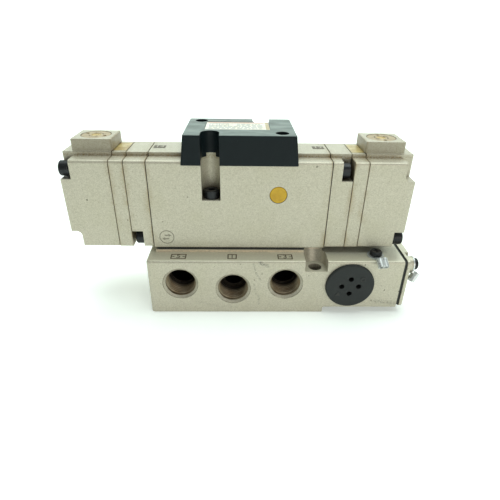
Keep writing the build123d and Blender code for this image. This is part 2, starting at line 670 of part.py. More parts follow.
def end_screw_rib(y, z):
    """Joins a screw boss to the nearest wall of the wiring box."""
    x0 = BASE_RIGHT - 12
    x1 = BASE_RIGHT + 2
    if z > 15:
        return block(x0, x1, y - 2.8, y + 2.8, z, CAVITY_TOP + 1) + block(x0, x1, y, 24, z - 2.8, z + 2.8)
    return block(x0, x1, y - 2.8, y + 2.8, CAVITY_BOTTOM - 1, z)


def base_end_gasket():
    sheet = block(BASE_RIGHT, END_GASKET_OUT, -25.5, 25.5, RELIEF_HEIGHT + 0.6, BASE_TOP - 0.6)
    sheet = fillet(sheet.edges().filter_by(Axis.X), 1.0)
    window = block(80, 90, -20.5, 20.5, 8.0, 21.5)
    for y, z in end_screw_places():
        window = window - rod_x(79, 91, y, z, 3.4)
        sheet = sheet - rod_x(79, 91, y, z, M3_RADIUS)
    return sheet - window


def base_end_cover():
    plate = block(END_GASKET_OUT, END_PLATE_OUT, -BASE_HALF_DEPTH, BASE_HALF_DEPTH, RELIEF_HEIGHT, BASE_TOP)
    plate = fillet(plate.edges().filter_by(Axis.X), 2.0)
    plate = fillet(plate.faces().sort_by(Axis.X)[-1].edges(), 0.8)
    raised = block(END_GASKET_OUT, END_RAISED_OUT, -END_RAISED_HALF, END_RAISED_HALF, RELIEF_HEIGHT, BASE_TOP)
    raised = fillet(raised.faces().sort_by(Axis.X)[-1].edges(), 0.7)
    plate = plate + raised
    boss = rod_x(END_GASKET_OUT, EARTH_BOSS_OUT, EARTH_Y, EARTH_END_Z, 3.9)
    plate = plate + boss
    for y, z in end_screw_places():
        plate = plate - rod_x(80, 90, y, z, M3_RADIUS)
        plate = plate - rod_x(END_PLATE_OUT - 0.5, 90, y, z, 3.0)
    return plate - rod_x(END_GASKET_OUT + 0.5, 90, EARTH_Y, EARTH_END_Z, M3_RADIUS)


def base_end_cover_screws():
    seat = END_PLATE_OUT - 0.5
    screw = cap_screw(M3_RADIUS, M3_HEAD_RADIUS, 2.2, seat - BASE_RIGHT + 7.0)
    return group([Pos(seat, y, z) * Rot(0, 90, 0) * screw for y, z in end_screw_places()])


def cable_grommet():
    front = -BASE_HALF_DEPTH
    flange = rod_y(front - GROMMET_PROUD, front, GROMMET_X, GROMMET_Z, GROMMET_RADIUS)
    flange = fillet(flange.edges().filter_by(GeomType.CIRCLE).sort_by(Axis.Y)[0], 0.7)
    inner = -CAVITY_HALF_DEPTH
    shape = flange + rod_y(front, inner, GROMMET_X, GROMMET_Z, GROMMET_HOLE_RADIUS)
    shape = shape + rod_y(inner, inner + 2.0, GROMMET_X, GROMMET_Z, 8.0)
    for x, z in wire_hole_places():
        shape = shape - rod_y(front - 3, inner + 3, x, z, WIRE_HOLE_RADIUS)
    return shape


def wire_hole_places():
    return [(GROMMET_X + WIRE_HOLE_CIRCLE * math.cos(math.radians(a)),
             GROMMET_Z + WIRE_HOLE_CIRCLE * math.sin(math.radians(a))) for a in (0, 90, 180, 270)]


def crimp_barrel():
    """Crimped wire barrel on Z: two lobes side by side, rolled from one strip."""
    length = 4.6
    lobe_spacing = 1.15
    lobes = [Pos(x, 0, 0) * Cylinder(1.55, length, align=(Align.CENTER, Align.CENTER, Align.MIN))
             for x in (-lobe_spacing, lobe_spacing)]
    shape = lobes[0] + lobes[1]
    for x in (-lobe_spacing, lobe_spacing):
        shape = shape - Pos(x, 0, 0) * Cylinder(1.0, 4 * length)
    return shape


def earth_terminal(reach, rise):
    """Ring terminal lying flat at the origin: eye, neck towards -Y and a drooping crimp barrel."""
    sheet = TERMINAL_SHEET
    eye = ring_z(0, sheet, 0, 0, 4.1, M3_RADIUS + 0.15)
    neck = block(-1.7, 1.7, -reach + 0.6, -3.2, 0, sheet)
    riser = block(-1.7, 1.7, -reach - 0.1, -reach + 0.7, 0, rise)
    barrel = Plane(origin=(0, -reach, rise), z_dir=(0, -0.8, -0.6), x_dir=(1, 0, 0)) * crimp_barrel()
    return eye + neck + riser + barrel


def earth_terminal_top():
    return Pos(EARTH_X, EARTH_Y, BASE_TOP) * Rot(0, 0, 7) * earth_terminal(6.6, 2.2)


def earth_terminal_end():
    """The eye stands against the end boss; the neck points down and towards the front."""
    return Pos(EARTH_BOSS_OUT, EARTH_Y, EARTH_END_Z) * Rot(0, 90, 0) * Rot(0, 0, 60) * earth_terminal(4.6, 2.6)


def earth_screw_top():
    return Pos(EARTH_X, EARTH_Y, BASE_TOP + TERMINAL_SHEET) * pan_screw(M3_RADIUS, 3.0, 1.9, 7.0)


def earth_screw_end():
    screw = pan_screw(M3_RADIUS, 3.0, 1.9, 4.0)
    return Pos(EARTH_BOSS_OUT + TERMINAL_SHEET, EARTH_Y, EARTH_END_Z) * Rot(0, 90, 0) * screw


def interface_gasket():
    sheet = block(-41.2, 41.2, -16.5, 16.5, PAD_TOP, BODY_BOTTOM)
    sheet = fillet(sheet.edges().filter_by(Axis.Z), 1.5)
    for step in range(-2, 3):
        sheet = sheet - port_slot(step * PORT_PITCH, PAD_TOP - 1, BODY_BOTTOM + 1)
    for x, y in bolt_places():
        sheet = sheet - rod_z(PAD_TOP - 1, BODY_BOTTOM + 1, x, y, M4_RADIUS + 0.25)
    sheet = sheet - block(33.8, 40.8, -7, 7, PAD_TOP - 1, BODY_BOTTOM + 1)
    return sheet - fixing_notch(FIXING_X, -1) - fixing_notch(REAR_FIXING_X, 1)


def base_socket():
    """Connector in the pad that takes the valve's pins."""
    shape = block(34.0, 40.6, -6.8, 6.8, 21.0, PAD_TOP)
    for index in range(4):
        shape = shape - block(36.8, 37.8, -5.0 + index * 3, -4.0 + index * 3, 25.5, PAD_TOP + 1)
    return shape


def terminal_strip():
    """Wiring terminals on the back wall of the wiring box."""
    shape = block(47.0, 68.0, 14.6, CAVITY_HALF_DEPTH, 13.0, 22.0)
    for x in strip_screw_places():
        shape = shape - rod_z(16.0, 23.0, x, 18.4, 2.0)
    return shape


def strip_screw_places():
    return [49.5 + index * 5.2 for index in range(4)]


def terminal_screws():
    screw = cap_screw(1.2, 1.9, 1.6, 2.5)
    return group([Pos(x, 18.4, 18.5) * screw for x in strip_screw_places()])


# ---------------------------------------------------------------- all nodes
def sided_nodes():
    spin = {"left": -25.0, "right": 95.0}
    for side in ("left", "right"):
        local = Pos(COIL_X, 0, 0)
        save(f"adapter_gasket_{side}", for_side(adapter_gasket(), side))
        save(f"adapter_plate_{side}", for_side(adapter_plate(), side))
        save(f"pilot_gaskets_{side}", for_side(pilot_gaskets(), side))
        save(f"pilot_plate_{side}", for_side(pilot_plate(), side))
        save(f"solenoid_block_{side}", for_side(solenoid_block(), side))
        save(f"fixed_core_{side}", for_side(local * fixed_core(), side))
        save(f"coil_bobbin_{side}", for_side(local * coil_bobbin(), side))
        save(f"coil_winding_{side}", for_side(local * coil_winding(), side))
        save(f"armature_{side}", for_side(local * armature(), side))
        save(f"armature_spring_{side}", for_side(local * armature_spring(), side))
        save(f"override_disc_{side}", for_side(local * override_disc(spin[side]), side))
        save(f"override_button_{side}", for_side(local * override_button(), side))
        save(f"override_spring_{side}", for_side(local * override_spring(), side))
        save(f"piston_{side}", piston(-1 if side == "left" else 1))


def single_nodes():
    makers = [base_block, base_end_gasket, base_end_cover, base_end_cover_screws, cable_grommet,
              earth_screw_top, earth_terminal_top, earth_screw_end, earth_terminal_end,
              interface_gasket, base_socket, terminal_strip, terminal_screws, valve_body, valve_plug,
              body_bolts, adapter_screws, end_screws, sleeve, sleeve_seals, spool, piston_seals,
              flow_plug, pilot_labels, top_cover, cover_gasket, cover_screws, nameplate,
              circuit_board, indicator_lamps]
    for maker in makers:
        save(maker.__name__, maker())


os.makedirs("parts", exist_ok=True)
single_nodes()
sided_nodes()
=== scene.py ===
"""Looks of the double-solenoid air valve on its sub-plate.

Lengths are in metres. A number multiplied by MM, or a name ending in _MM, is in millimetres.
"""
import json
import math
import random

import bmesh
import bpy
from mathutils import Matrix, Vector


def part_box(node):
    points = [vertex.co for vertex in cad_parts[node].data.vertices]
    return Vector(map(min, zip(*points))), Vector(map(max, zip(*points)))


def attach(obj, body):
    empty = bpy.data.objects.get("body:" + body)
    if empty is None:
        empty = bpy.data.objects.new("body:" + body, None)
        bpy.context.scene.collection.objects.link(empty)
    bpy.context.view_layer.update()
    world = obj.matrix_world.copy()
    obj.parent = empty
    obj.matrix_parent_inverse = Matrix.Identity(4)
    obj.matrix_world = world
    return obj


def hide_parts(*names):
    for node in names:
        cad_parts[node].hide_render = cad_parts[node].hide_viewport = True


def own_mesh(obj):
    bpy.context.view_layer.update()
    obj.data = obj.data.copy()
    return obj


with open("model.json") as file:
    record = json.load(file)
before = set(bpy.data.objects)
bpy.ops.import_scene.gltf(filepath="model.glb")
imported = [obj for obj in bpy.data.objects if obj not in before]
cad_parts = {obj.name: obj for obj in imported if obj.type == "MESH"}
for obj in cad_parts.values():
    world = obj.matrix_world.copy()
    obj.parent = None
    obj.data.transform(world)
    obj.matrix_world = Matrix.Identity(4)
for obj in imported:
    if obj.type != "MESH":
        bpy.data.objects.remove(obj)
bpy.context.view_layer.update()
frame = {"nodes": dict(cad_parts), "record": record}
record = frame["record"]
nodes = frame["nodes"]

MM = 0.001
FIXED_BODY = "valve_and_base"
random.seed(7)


# ---------------------------------------------------------------- places read from the frame
body_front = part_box("valve_body")[0].y
front_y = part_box("base_block")[0].y
plate_low, plate_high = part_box("nameplate")
grommet_low, grommet_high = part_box("cable_grommet")
port_mounts = [item for item in record["mounts"] if item["kind"] == "threaded_hole"]
joint_planes = [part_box(f"{name}_{side}")[end].x
                for side in ("left", "right")
                for name, end in (("adapter_gasket", 0), ("pilot_plate", 0), ("pilot_plate", 1))]

# levels and edges of the castings that the frame's boxes don't give
BASE_TOP = 30.0 * MM
SHOULDER_TOP = 76.3 * MM
STRIP_TOP = 78.0 * MM
STRIP_EDGE = 9.1 * MM
PORT_SINK_RADIUS = 8.68 * MM


# ---------------------------------------------------------------- shader graphs
# how well a softened normal matches the true one on a flat face and along an edge
FLAT_MATCH = 0.995
EDGE_MATCH = 0.88


class Graph:
    """A small wrapper that adds nodes to one material and links them."""

    def __init__(self, name):
        self.material = bpy.data.materials.new(name)
        self.material.use_nodes = True
        self.tree = self.material.node_tree
        self.shader = self.tree.nodes["Principled BSDF"]
        self.coordinates = self.add("ShaderNodeTexCoord").outputs["Object"]

    def add(self, kind, **settings):
        node = self.tree.nodes.new(kind)
        for key, value in settings.items():
            setattr(node, key, value)
        return node

    def put(self, socket, value):
        if isinstance(value, bpy.types.NodeSocket):
            self.tree.links.new(value, socket)
        else:
            socket.default_value = value

    def math(self, operation, first, second=0.0, clamp=False):
        node = self.add("ShaderNodeMath", operation=operation, use_clamp=clamp)
        self.put(node.inputs[0], first)
        self.put(node.inputs[1], second)
        return node.outputs[0]

    def vector(self, operation, first, second=(0, 0, 0), scale=None):
        node = self.add("ShaderNodeVectorMath", operation=operation)
        self.put(node.inputs[0], first)
        self.put(node.inputs[1], second)
        if scale is not None:
            self.put(node.inputs["Scale"], scale)
        gives_number = operation in ("DOT_PRODUCT", "LENGTH", "DISTANCE")
        return node.outputs["Value" if gives_number else "Vector"]

    def ramp(self, value, low, high, out_low=0.0, out_high=1.0):
        node = self.add("ShaderNodeMapRange", interpolation_type="SMOOTHSTEP")
        for index, item in enumerate((value, low, high, out_low, out_high)):
            self.put(node.inputs[index], item)
        return node.outputs[0]

    def mix(self, factor, first, second):
        node = self.add("ShaderNodeMix", data_type="RGBA")
        self.put(node.inputs[0], factor)
        self.put(node.inputs[6], first)
        self.put(node.inputs[7], second)
        return node.outputs[2]

    def noise(self, grain, detail=3.0, roughness=0.5, stretch=(1, 1, 1)):
        """Noise with features about `grain` metres across."""
        place = self.vector("MULTIPLY", self.coordinates, stretch)
        node = self.add("ShaderNodeTexNoise")
        self.put(node.inputs["Vector"], place)
        self.put(node.inputs["Scale"], 1.0 / grain)
        self.put(node.inputs["Detail"], detail)
        self.put(node.inputs["Roughness"], roughness)
        return node.outputs["Fac"]

    def flakes(self, grain):
        """A random number for each cell of about `grain` metres."""
        cells = self.add("ShaderNodeTexVoronoi")
        self.put(cells.inputs["Vector"], self.coordinates)
        self.put(cells.inputs["Scale"], 1.0 / grain)
        channels = self.add("ShaderNodeSeparateColor")
        self.put(channels.inputs[0], cells.outputs["Color"])
        return channels.outputs[0]

    def axis(self, name):
        node = self.add("ShaderNodeSeparateXYZ")
        self.put(node.inputs[0], self.coordinates)
        return node.outputs[name]

    def facing(self, name):
        """One component of the surface normal."""
        node = self.add("ShaderNodeSeparateXYZ")
        self.put(node.inputs[0], self.add("ShaderNodeNewGeometry").outputs["Normal"])
        return node.outputs[name]

    def product(self, first, *others):
        for other in others:
            first = self.math("MULTIPLY", first, other)
        return first

    def near(self, value, target, outer, inner):
        """1 where the value is within `inner` of the target, 0 farther than `outer`."""
        distance = self.math("ABSOLUTE", self.math("SUBTRACT", value, target))
        return self.ramp(distance, outer, inner)

    def openness(self, reach):
        """Ambient occlusion within `reach`: 1 in the open, 0 where hidden."""
        node = self.add("ShaderNodeAmbientOcclusion", samples=6)
        node.inputs["Distance"].default_value = reach
        return node.outputs["AO"]

    def edge_mask(self, width):
        """1 along convex and concave edges, 0 on flat faces."""
        bevel = self.add("ShaderNodeBevel", samples=4)
        bevel.inputs["Radius"].default_value = width
        geometry = self.add("ShaderNodeNewGeometry")
        match = self.vector("DOT_PRODUCT", bevel.outputs[0], geometry.outputs["Normal"])
        return self.ramp(match, FLAT_MATCH, EDGE_MATCH)

    def relief(self, height, distance, strength=1.0, soft_edge=0.0):
        bump = self.add("ShaderNodeBump")
        bump.inputs["Distance"].default_value = distance
        bump.inputs["Strength"].default_value = strength
        self.put(bump.inputs["Height"], height)
        if soft_edge:
            bevel = self.add("ShaderNodeBevel", samples=4)
            bevel.inputs["Radius"].default_value = soft_edge
            self.put(bump.inputs["Normal"], bevel.outputs[0])
        self.put(self.shader.inputs["Normal"], bump.outputs[0])

    def segment_distance(self, start, end):
        """Distance from the surface point to a straight segment."""
        start = Vector(start)
        along = Vector(end) - start
        offset = self.vector("SUBTRACT", self.coordinates, tuple(start))
        reached = self.vector("DOT_PRODUCT", offset, tuple(along))
        part = self.math("DIVIDE", reached, along.length_squared, clamp=True)
        nearest = self.vector("SCALE", tuple(along), scale=part)
        return self.vector("DISTANCE", offset, nearest)

    def set(self, **inputs):
        names = {"color": "Base Color", "metallic": "Metallic", "roughness": "Roughness",
                 "specular": "Specular IOR Level", "transmission": "Transmission Weight",
                 "coat": "Coat Weight", "coat_roughness": "Coat Roughness"}
        for key, value in inputs.items():
            self.put(self.shader.inputs[names[key]], value)
        return self.material


def rgb(red, green, blue):
    return (red, green, blue, 1.0)


PAINT = rgb(0.520, 0.480, 0.378)
PAINT_LIGHT = rgb(0.690, 0.655, 0.540)
PAINT_DARK = rgb(0.335, 0.302, 0.222)
STAIN = rgb(0.260, 0.170, 0.055)
GRIME_AND_SHADE = rgb(0.060, 0.050, 0.030)
PAINT_PIT = rgb(0.230, 0.205, 0.140)
PAINT_CLOUD = rgb(0.430, 0.405, 0.265)
BARE_EDGE = rgb(0.76, 0.76, 0.70)
HOLLOW_SHADE = rgb(0.085, 0.070, 0.042)
BOSS_SHADE = rgb(0.16, 0.125, 0.075)
BASE_TOP_PAINTED_LIGHT = rgb(0.86, 0.84, 0.68)
RING_DIRT = rgb(0.13, 0.11, 0.07)
SCRATCH = rgb(0.16, 0.15, 0.125)
PAD_FACE = rgb(0.86, 0.72, 0.54)
BORE_LIGHT = rgb(0.330, 0.255, 0.165)
BORE_DARK = rgb(0.100, 0.072, 0.042)
BORE_DEEP_SHADE = rgb(0.004, 0.0035, 0.003)
SPRING_DARK = rgb(0.35, 0.35, 0.34)
SPRING_LIGHT = rgb(0.58, 0.58, 0.56)


def cast_paint(name, joints=(), scratches=(), ports=(), step=None, boss_above=None, pad_above=None,
               hollow_shade_start=0.50):
    """Metallic speckled paint over a casting, with grime and painted shade in its corners, painted shade in
    its hollows, and the wear, stains, darker boss faces and painted light that the arguments name.
    """
    g = Graph(name)
    color = speckled(g)
    color = worn(g, color)
    color = grimed_and_shaded(g, color, hollow_shade_start)
    if joints:
        color = stained_joints(g, color, joints)
    if step:
        color = peppered_step(g, color, *step)
    if boss_above:
        upright = g.ramp(g.facing("Z"), 0.7, 0.3)
        high = g.ramp(g.axis("Z"), boss_above, boss_above + 0.5 * MM)
        color = g.mix(g.product(upright, high, 0.42), color, BOSS_SHADE)
    if pad_above:
        color = pale_pad_and_painted_light(g, color, pad_above)
    for centre, _radius, side in ports:
        color = ringed_port(g, color, centre, side)
    for scratch in scratches:
        color = scratched(g, color, *scratch)
    if ports:
        color = bare_bores(g, color, ports)
    coarse = g.product(g.noise(2.4 * MM, detail=2.0), 1.6)
    g.relief(g.math("ADD", g.noise(0.42 * MM), coarse), 0.05 * MM, strength=0.55, soft_edge=0.28 * MM)
    rough = g.ramp(g.noise(0.8 * MM), 0.3, 0.7, 0.36, 0.47)
    return g.set(color=color, metallic=0.35, roughness=rough)


def speckled(g):
    """Paint with metal flakes, pits, clouds and a few dark specks."""
    color = g.mix(g.ramp(g.flakes(0.34 * MM), 0.0, 1.0, 0.25, 0.75), PAINT_DARK, PAINT_LIGHT)
    color = g.mix(0.38, color, PAINT)
    pits = g.ramp(g.noise(0.62 * MM, detail=2.0), 0.60, 0.70, 0.0, 0.34)
    color = g.mix(pits, color, PAINT_PIT)
    sparkle = g.ramp(g.noise(0.55 * MM, detail=2.0), 0.35, 0.7, 0.0, 0.14)
    color = g.mix(sparkle, color, PAINT_LIGHT)
    clouds = g.ramp(g.noise(13 * MM, detail=4.0), 0.42, 0.78, 0.0, 0.22)
    color = g.mix(clouds, color, PAINT_CLOUD)
    specks = g.ramp(g.noise(2.1 * MM, detail=1.0, roughness=0.3), 0.77, 0.81, 0.0, 0.65)
    return g.mix(specks, color, GRIME_AND_SHADE)


def worn(g, color):
    """Bare metal showing in broken lines along the edges."""
    broken = g.ramp(g.noise(1.6 * MM, detail=4.0, roughness=0.7), 0.52, 0.68)
    return g.mix(g.product(g.edge_mask(0.5 * MM), broken, 0.55), color, BARE_EDGE)


def grimed_and_shaded(g, color, hollow_shade_start):
    """Grime in tight corners, found by occlusion and so partly painted shade, and painted shade darkening
    deep hollows.
    """
    # grime where occlusion is tight: partly dirt, partly painted shade in the corners
    hidden = g.ramp(g.openness(2.2 * MM), 0.66, 0.2)
    patchy = g.ramp(g.noise(3.2 * MM, detail=5.0, roughness=0.65), 0.3, 0.7, 0.35, 1.0)
    color = g.mix(g.product(hidden, patchy, 0.55), color, GRIME_AND_SHADE)
    # painted shade: the colour darkens deep in hollows, by occlusion
    deep = g.ramp(g.openness(9 * MM), hollow_shade_start, 0.20)
    return g.mix(g.product(deep, 0.92), color, HOLLOW_SHADE)


def stained_joints(g, color, planes):
    """Brown stain that has crept out of the joints across X."""
    x = g.axis("X")
    blotch = g.ramp(g.noise(5.5 * MM, detail=4.0, roughness=0.6, stretch=(1, 1, 0.45)), 0.42, 0.66)
    darkest = g.math("ADD", g.product(blotch, 0.55), 0.35)
    for plane in planes:
        wide = g.product(g.near(x, plane, 3.4 * MM, 0.2 * MM), blotch, 0.42)
        seam = g.product(g.near(x, plane, 0.7 * MM, 0.15 * MM), darkest)
        color = g.mix(g.product(g.math("MAXIMUM", wide, seam), 0.75), color, STAIN)
    return color


def peppered_step(g, color, edge, height):
    """Fine brown specks along the foot of the raised centre strip."""
    foot = g.near(g.math("ABSOLUTE", g.axis("Y")), edge, 4.5 * MM, 0.2 * MM)
    level = g.near(g.axis("Z"), height, 1.5 * MM, 0.1 * MM)
    pepper = g.ramp(g.noise(0.8 * MM, roughness=0.75), 0.44, 0.60)
    return g.mix(g.product(foot, level, pepper, 0.62), color, STAIN)


def pale_pad_and_painted_light(g, color, pad_above):
    """The pale milled front and back of the interface pad, and painted light on the base's upward faces."""
    upright = g.ramp(g.math("ABSOLUTE", g.facing("Y")), 0.7, 0.9)
    high = g.math("GREATER_THAN", g.axis("Z"), pad_above)
    milled = g.ramp(g.noise(1.4 * MM), 0.3, 0.7, 0.55, 0.95)
    color = g.mix(g.product(upright, high, milled), color, PAD_FACE)
    # painted light: the base's upward faces are lightened as if they were lit more
    level = g.ramp(g.facing("Z"), 0.7, 0.95)
    return g.mix(g.product(level, 0.5), color, BASE_TOP_PAINTED_LIGHT)


def port_distance(g, centre):
    """Distance from a pipe port's axis, which lies along Y."""
    flat = g.vector("MULTIPLY", g.vector("SUBTRACT", g.coordinates, tuple(centre)), (1, 0, 1))
    return g.vector("LENGTH", flat)


def port_side(g, side):
    """1 on the half of the base that the port opens from."""
    return g.math("GREATER_THAN", g.product(g.axis("Y"), side), 0.0)


def ringed_port(g, color, centre, side):
    """A dirty line around a port's spot face."""
    rim = g.near(port_distance(g, centre), PORT_SINK_RADIUS, 0.28 * MM, 0.04 * MM)
    patchy = g.ramp(g.noise(2.6 * MM), 0.35, 0.6, 0.35, 1.0)
    return g.mix(g.product(rim, port_side(g, side), patchy, 0.75), color, RING_DIRT)


def bare_bores(g, color, ports):
    """Turned metal on the walls of the ports, with painted shade going black in their depth."""
    inside = 0.0
    for centre, radius, side in ports:
        within = g.math("LESS_THAN", port_distance(g, centre), radius + 0.06 * MM)
        inside = g.math("MAXIMUM", inside, g.product(within, port_side(g, side)))
    depth = g.math("ABSOLUTE", g.math("SUBTRACT", g.math("ABSOLUTE", g.axis("Y")), -front_y))
    behind = g.product(inside, g.math("GREATER_THAN", depth, 0.4 * MM))
    swirl = g.ramp(g.noise(1.8 * MM, detail=4.0, roughness=0.65, stretch=(1, 2.2, 1)), 0.35, 0.68)
    metal = g.mix(swirl, BORE_DARK, BORE_LIGHT)
    # painted shade: the bore walls darken to black with depth
    metal = g.mix(g.ramp(depth, 9.5 * MM, 13.5 * MM), metal, BORE_DEEP_SHADE)
    return g.mix(behind, color, metal)


def scratched(g, color, start, end, width, strength):
    """A ragged scratch along a straight segment."""
    ragged = g.ramp(g.noise(0.9 * MM, detail=4.0, roughness=0.75), 0.42, 0.62)
    near = g.ramp(g.segment_distance(start, end), width, 0.35 * width)
    return g.mix(g.product(near, ragged, strength), color, SCRATCH)


def machined_bore(name):
    """Brownish turned metal of the port threads, with painted shade dark in its roots and deepening to black
    in the depth of the port.
    """
    g = Graph(name)
    rings = g.noise(0.9 * MM, detail=3.0, stretch=(0.4, 2.4, 0.4))
    color = g.mix(rings, rgb(0.20, 0.15, 0.09), rgb(0.52, 0.44, 0.31))
    blotch = g.ramp(g.noise(4.5 * MM, detail=4.0), 0.38, 0.68)
    color = g.mix(blotch, color, rgb(0.26, 0.19, 0.11))
    # painted shade: the thread darkens to near black deeper in the port
    depth = g.math("SUBTRACT", -front_y, g.math("ABSOLUTE", g.axis("Y")))
    color = g.mix(g.ramp(depth, 6.5 * MM, 11.0 * MM), color, rgb(0.02, 0.016, 0.01))
    # painted shade in the thread roots, where occlusion is tight
    roots = g.ramp(g.openness(0.7 * MM), 0.95, 0.45, 0.0, 0.9)
    color = g.mix(roots, color, rgb(0.035, 0.025, 0.014))
    g.relief(rings, 0.03 * MM, strength=0.5)
    return g.set(color=color, metallic=0.6, roughness=g.ramp(rings, 0.3, 0.7, 0.34, 0.5))


def moulded_black(name):
    """Blue-black moulded plastic with a fine grain; a grey painted sheen on its upward faces stands in for
    gloss.
    """
    g = Graph(name)
    tone = g.noise(6 * MM, detail=3.0)
    color = g.mix(tone, rgb(0.0050, 0.0095, 0.0112), rgb(0.0080, 0.0135, 0.0155))
    dust = g.ramp(g.noise(0.7 * MM, detail=2.0, roughness=0.6), 0.68, 0.78, 0.0, 0.22)
    color = g.mix(dust, color, rgb(0.045, 0.05, 0.047))
    edges = g.product(g.edge_mask(0.35 * MM), g.ramp(g.noise(1.2 * MM, detail=4.0), 0.5, 0.68))
    color = g.mix(g.product(edges, 0.3), color, rgb(0.11, 0.12, 0.115))
    # painted sheen: streaky grey on upward faces stands in for the reflection of the gloss
    sheen_streaks = g.ramp(g.noise(7 * MM, detail=4.0, stretch=(0.6, 1.6, 1)), 0.3, 0.7, 0.62, 1.0)
    film = g.product(g.ramp(g.facing("Z"), 0.55, 0.95), sheen_streaks, 0.78)
    color = g.mix(film, color, rgb(0.285, 0.350, 0.320))
    grain = g.noise(0.22 * MM, detail=3.0, roughness=0.65)
    g.relief(grain, 0.03 * MM, strength=0.55, soft_edge=0.2 * MM)
    return g.set(color=color, roughness=g.ramp(tone, 0.3, 0.7, 0.36, 0.46), specular=0.16)


def grommet_rubber(name):
    """Dusty black rubber of the wire entry."""
    g = Graph(name)
    tone = g.noise(5 * MM, detail=4.0)
    color = g.mix(tone, rgb(0.017, 0.020, 0.020), rgb(0.026, 0.030, 0.029))
    dust = g.ramp(g.noise(1.1 * MM, detail=4.0, roughness=0.7), 0.62, 0.80, 0.0, 0.25)
    color = g.mix(dust, color, rgb(0.10, 0.10, 0.09))
    g.relief(g.noise(0.5 * MM, detail=4.0), 0.04 * MM, strength=0.5)
    return g.set(color=color, roughness=0.62, specular=0.3)


def gasket_rubber(name):
    """Plain black sheet rubber."""
    g = Graph(name)
    tone = g.noise(2 * MM, detail=4.0)
    color = g.mix(tone, rgb(0.012, 0.013, 0.012), rgb(0.03, 0.031, 0.027))
    g.relief(tone, 0.05 * MM, strength=0.5)
    return g.set(color=color, roughness=0.6)


def black_oxide(name):
    """Blackened screw steel, bare on its edges."""
    g = Graph(name)
    tone = g.noise(1.3 * MM, detail=4.0)
    color = g.mix(tone, rgb(0.010, 0.011, 0.012), rgb(0.032, 0.034, 0.036))
    edges = g.product(g.edge_mask(0.22 * MM), g.ramp(g.noise(0.8 * MM), 0.42, 0.62))
    color = g.mix(g.product(edges, 0.55), color, rgb(0.22, 0.21, 0.19))
    g.relief(g.noise(0.3 * MM, detail=3.0), 0.02 * MM, strength=0.5, soft_edge=0.12 * MM)
    return g.set(color=color, metallic=0.6, roughness=g.ramp(tone, 0.3, 0.7, 0.30, 0.44))


def plated(name, dark, light, roughness, grain=0.9, metallic=0.92):
    """Plated or bare metal with cloudy tarnish."""
    g = Graph(name)
    tone = g.noise(grain * MM, detail=5.0, roughness=0.6)
    color = g.mix(g.ramp(tone, 0.3, 0.72), dark, light)
    g.relief(g.noise(0.25 * MM, detail=3.0), 0.02 * MM, strength=0.5, soft_edge=0.1 * MM)
    rough = g.ramp(tone, 0.3, 0.7, roughness, roughness + 0.14)
    return g.set(color=color, metallic=metallic, roughness=rough)


def turned_disc(name):
    """Tarnished bronze retainer with faint concentric turning marks about each solenoid's axis."""
    g = Graph(name)
    low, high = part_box("override_disc_right")
    from_axis = g.math("SUBTRACT", g.math("ABSOLUTE", g.axis("X")), (low.x + high.x) / 2)
    squares = g.math("ADD", g.math("POWER", from_axis, 2.0), g.math("POWER", g.axis("Y"), 2.0))
    radius = g.math("SQRT", squares)
    rings = g.math("SINE", g.math("MULTIPLY", radius, 2 * math.pi / (0.35 * MM)))
    tone = g.noise(2.4 * MM, detail=5.0, roughness=0.65)
    color = g.mix(g.ramp(tone, 0.3, 0.7), rgb(0.34, 0.25, 0.145), rgb(0.53, 0.43, 0.28))
    rim = g.ramp(radius, 6.2 * MM, 6.95 * MM)
    color = g.mix(g.product(rim, 0.8), color, rgb(0.15, 0.10, 0.045))
    centre = g.ramp(radius, 3.2 * MM, 1.9 * MM)
    color = g.mix(g.product(centre, 0.45), color, rgb(0.58, 0.42, 0.14))
    g.relief(rings, 0.01 * MM, strength=0.4)
    return g.set(color=color, metallic=0.55, roughness=g.ramp(tone, 0.3, 0.7, 0.38, 0.52))


def enamel_yellow(name):
    """Yellow paint with specks of dirt."""
    g = Graph(name)
    tone = g.noise(2.6 * MM, detail=5.0, roughness=0.6)
    color = g.mix(g.ramp(tone, 0.3, 0.7), rgb(0.50, 0.285, 0.004), rgb(0.60, 0.37, 0.008))
    dirt = g.ramp(g.noise(0.8 * MM, detail=3.0), 0.66, 0.76, 0.0, 0.5)
    color = g.mix(dirt, color, rgb(0.22, 0.14, 0.03))
    g.relief(g.noise(0.4 * MM, detail=2.0), 0.02 * MM, strength=0.4)
    return g.set(color=color, roughness=0.42)


def label_film(name, base, tint, amount):
    """Printed film, yellowed in soft patches."""
    g = Graph(name)
    tone = g.noise(4.0 * MM, detail=4.0)
    color = g.mix(g.ramp(tone, 0.35, 0.7, 0.0, amount), base, tint)
    g.relief(g.noise(0.6 * MM, detail=2.0), 0.01 * MM, strength=0.3)
    rough = g.ramp(tone, 0.3, 0.7, 0.28, 0.40)
    return g.set(color=color, roughness=rough, coat=0.25, coat_roughness=0.2)


def printed_ink(name, color):
    """Ink with faintly lighter patches."""
    g = Graph(name)
    tone = g.noise(0.25 * MM, detail=3.0)
    light = rgb(*(min(1.0, c * 1.7 + 0.03) for c in color[:3]))
    return g.set(color=g.mix(g.ramp(tone, 0.45, 0.75), color, light), roughness=0.5)


def plain_plastic(name, dark, light, roughness):
    """Cloudy plastic or resist between two tones."""
    g = Graph(name)
    tone = g.noise(1.5 * MM, detail=4.0)
    g.relief(g.noise(0.3 * MM, detail=2.0), 0.02 * MM, strength=0.4)
    return g.set(color=g.mix(tone, dark, light), roughness=roughness)


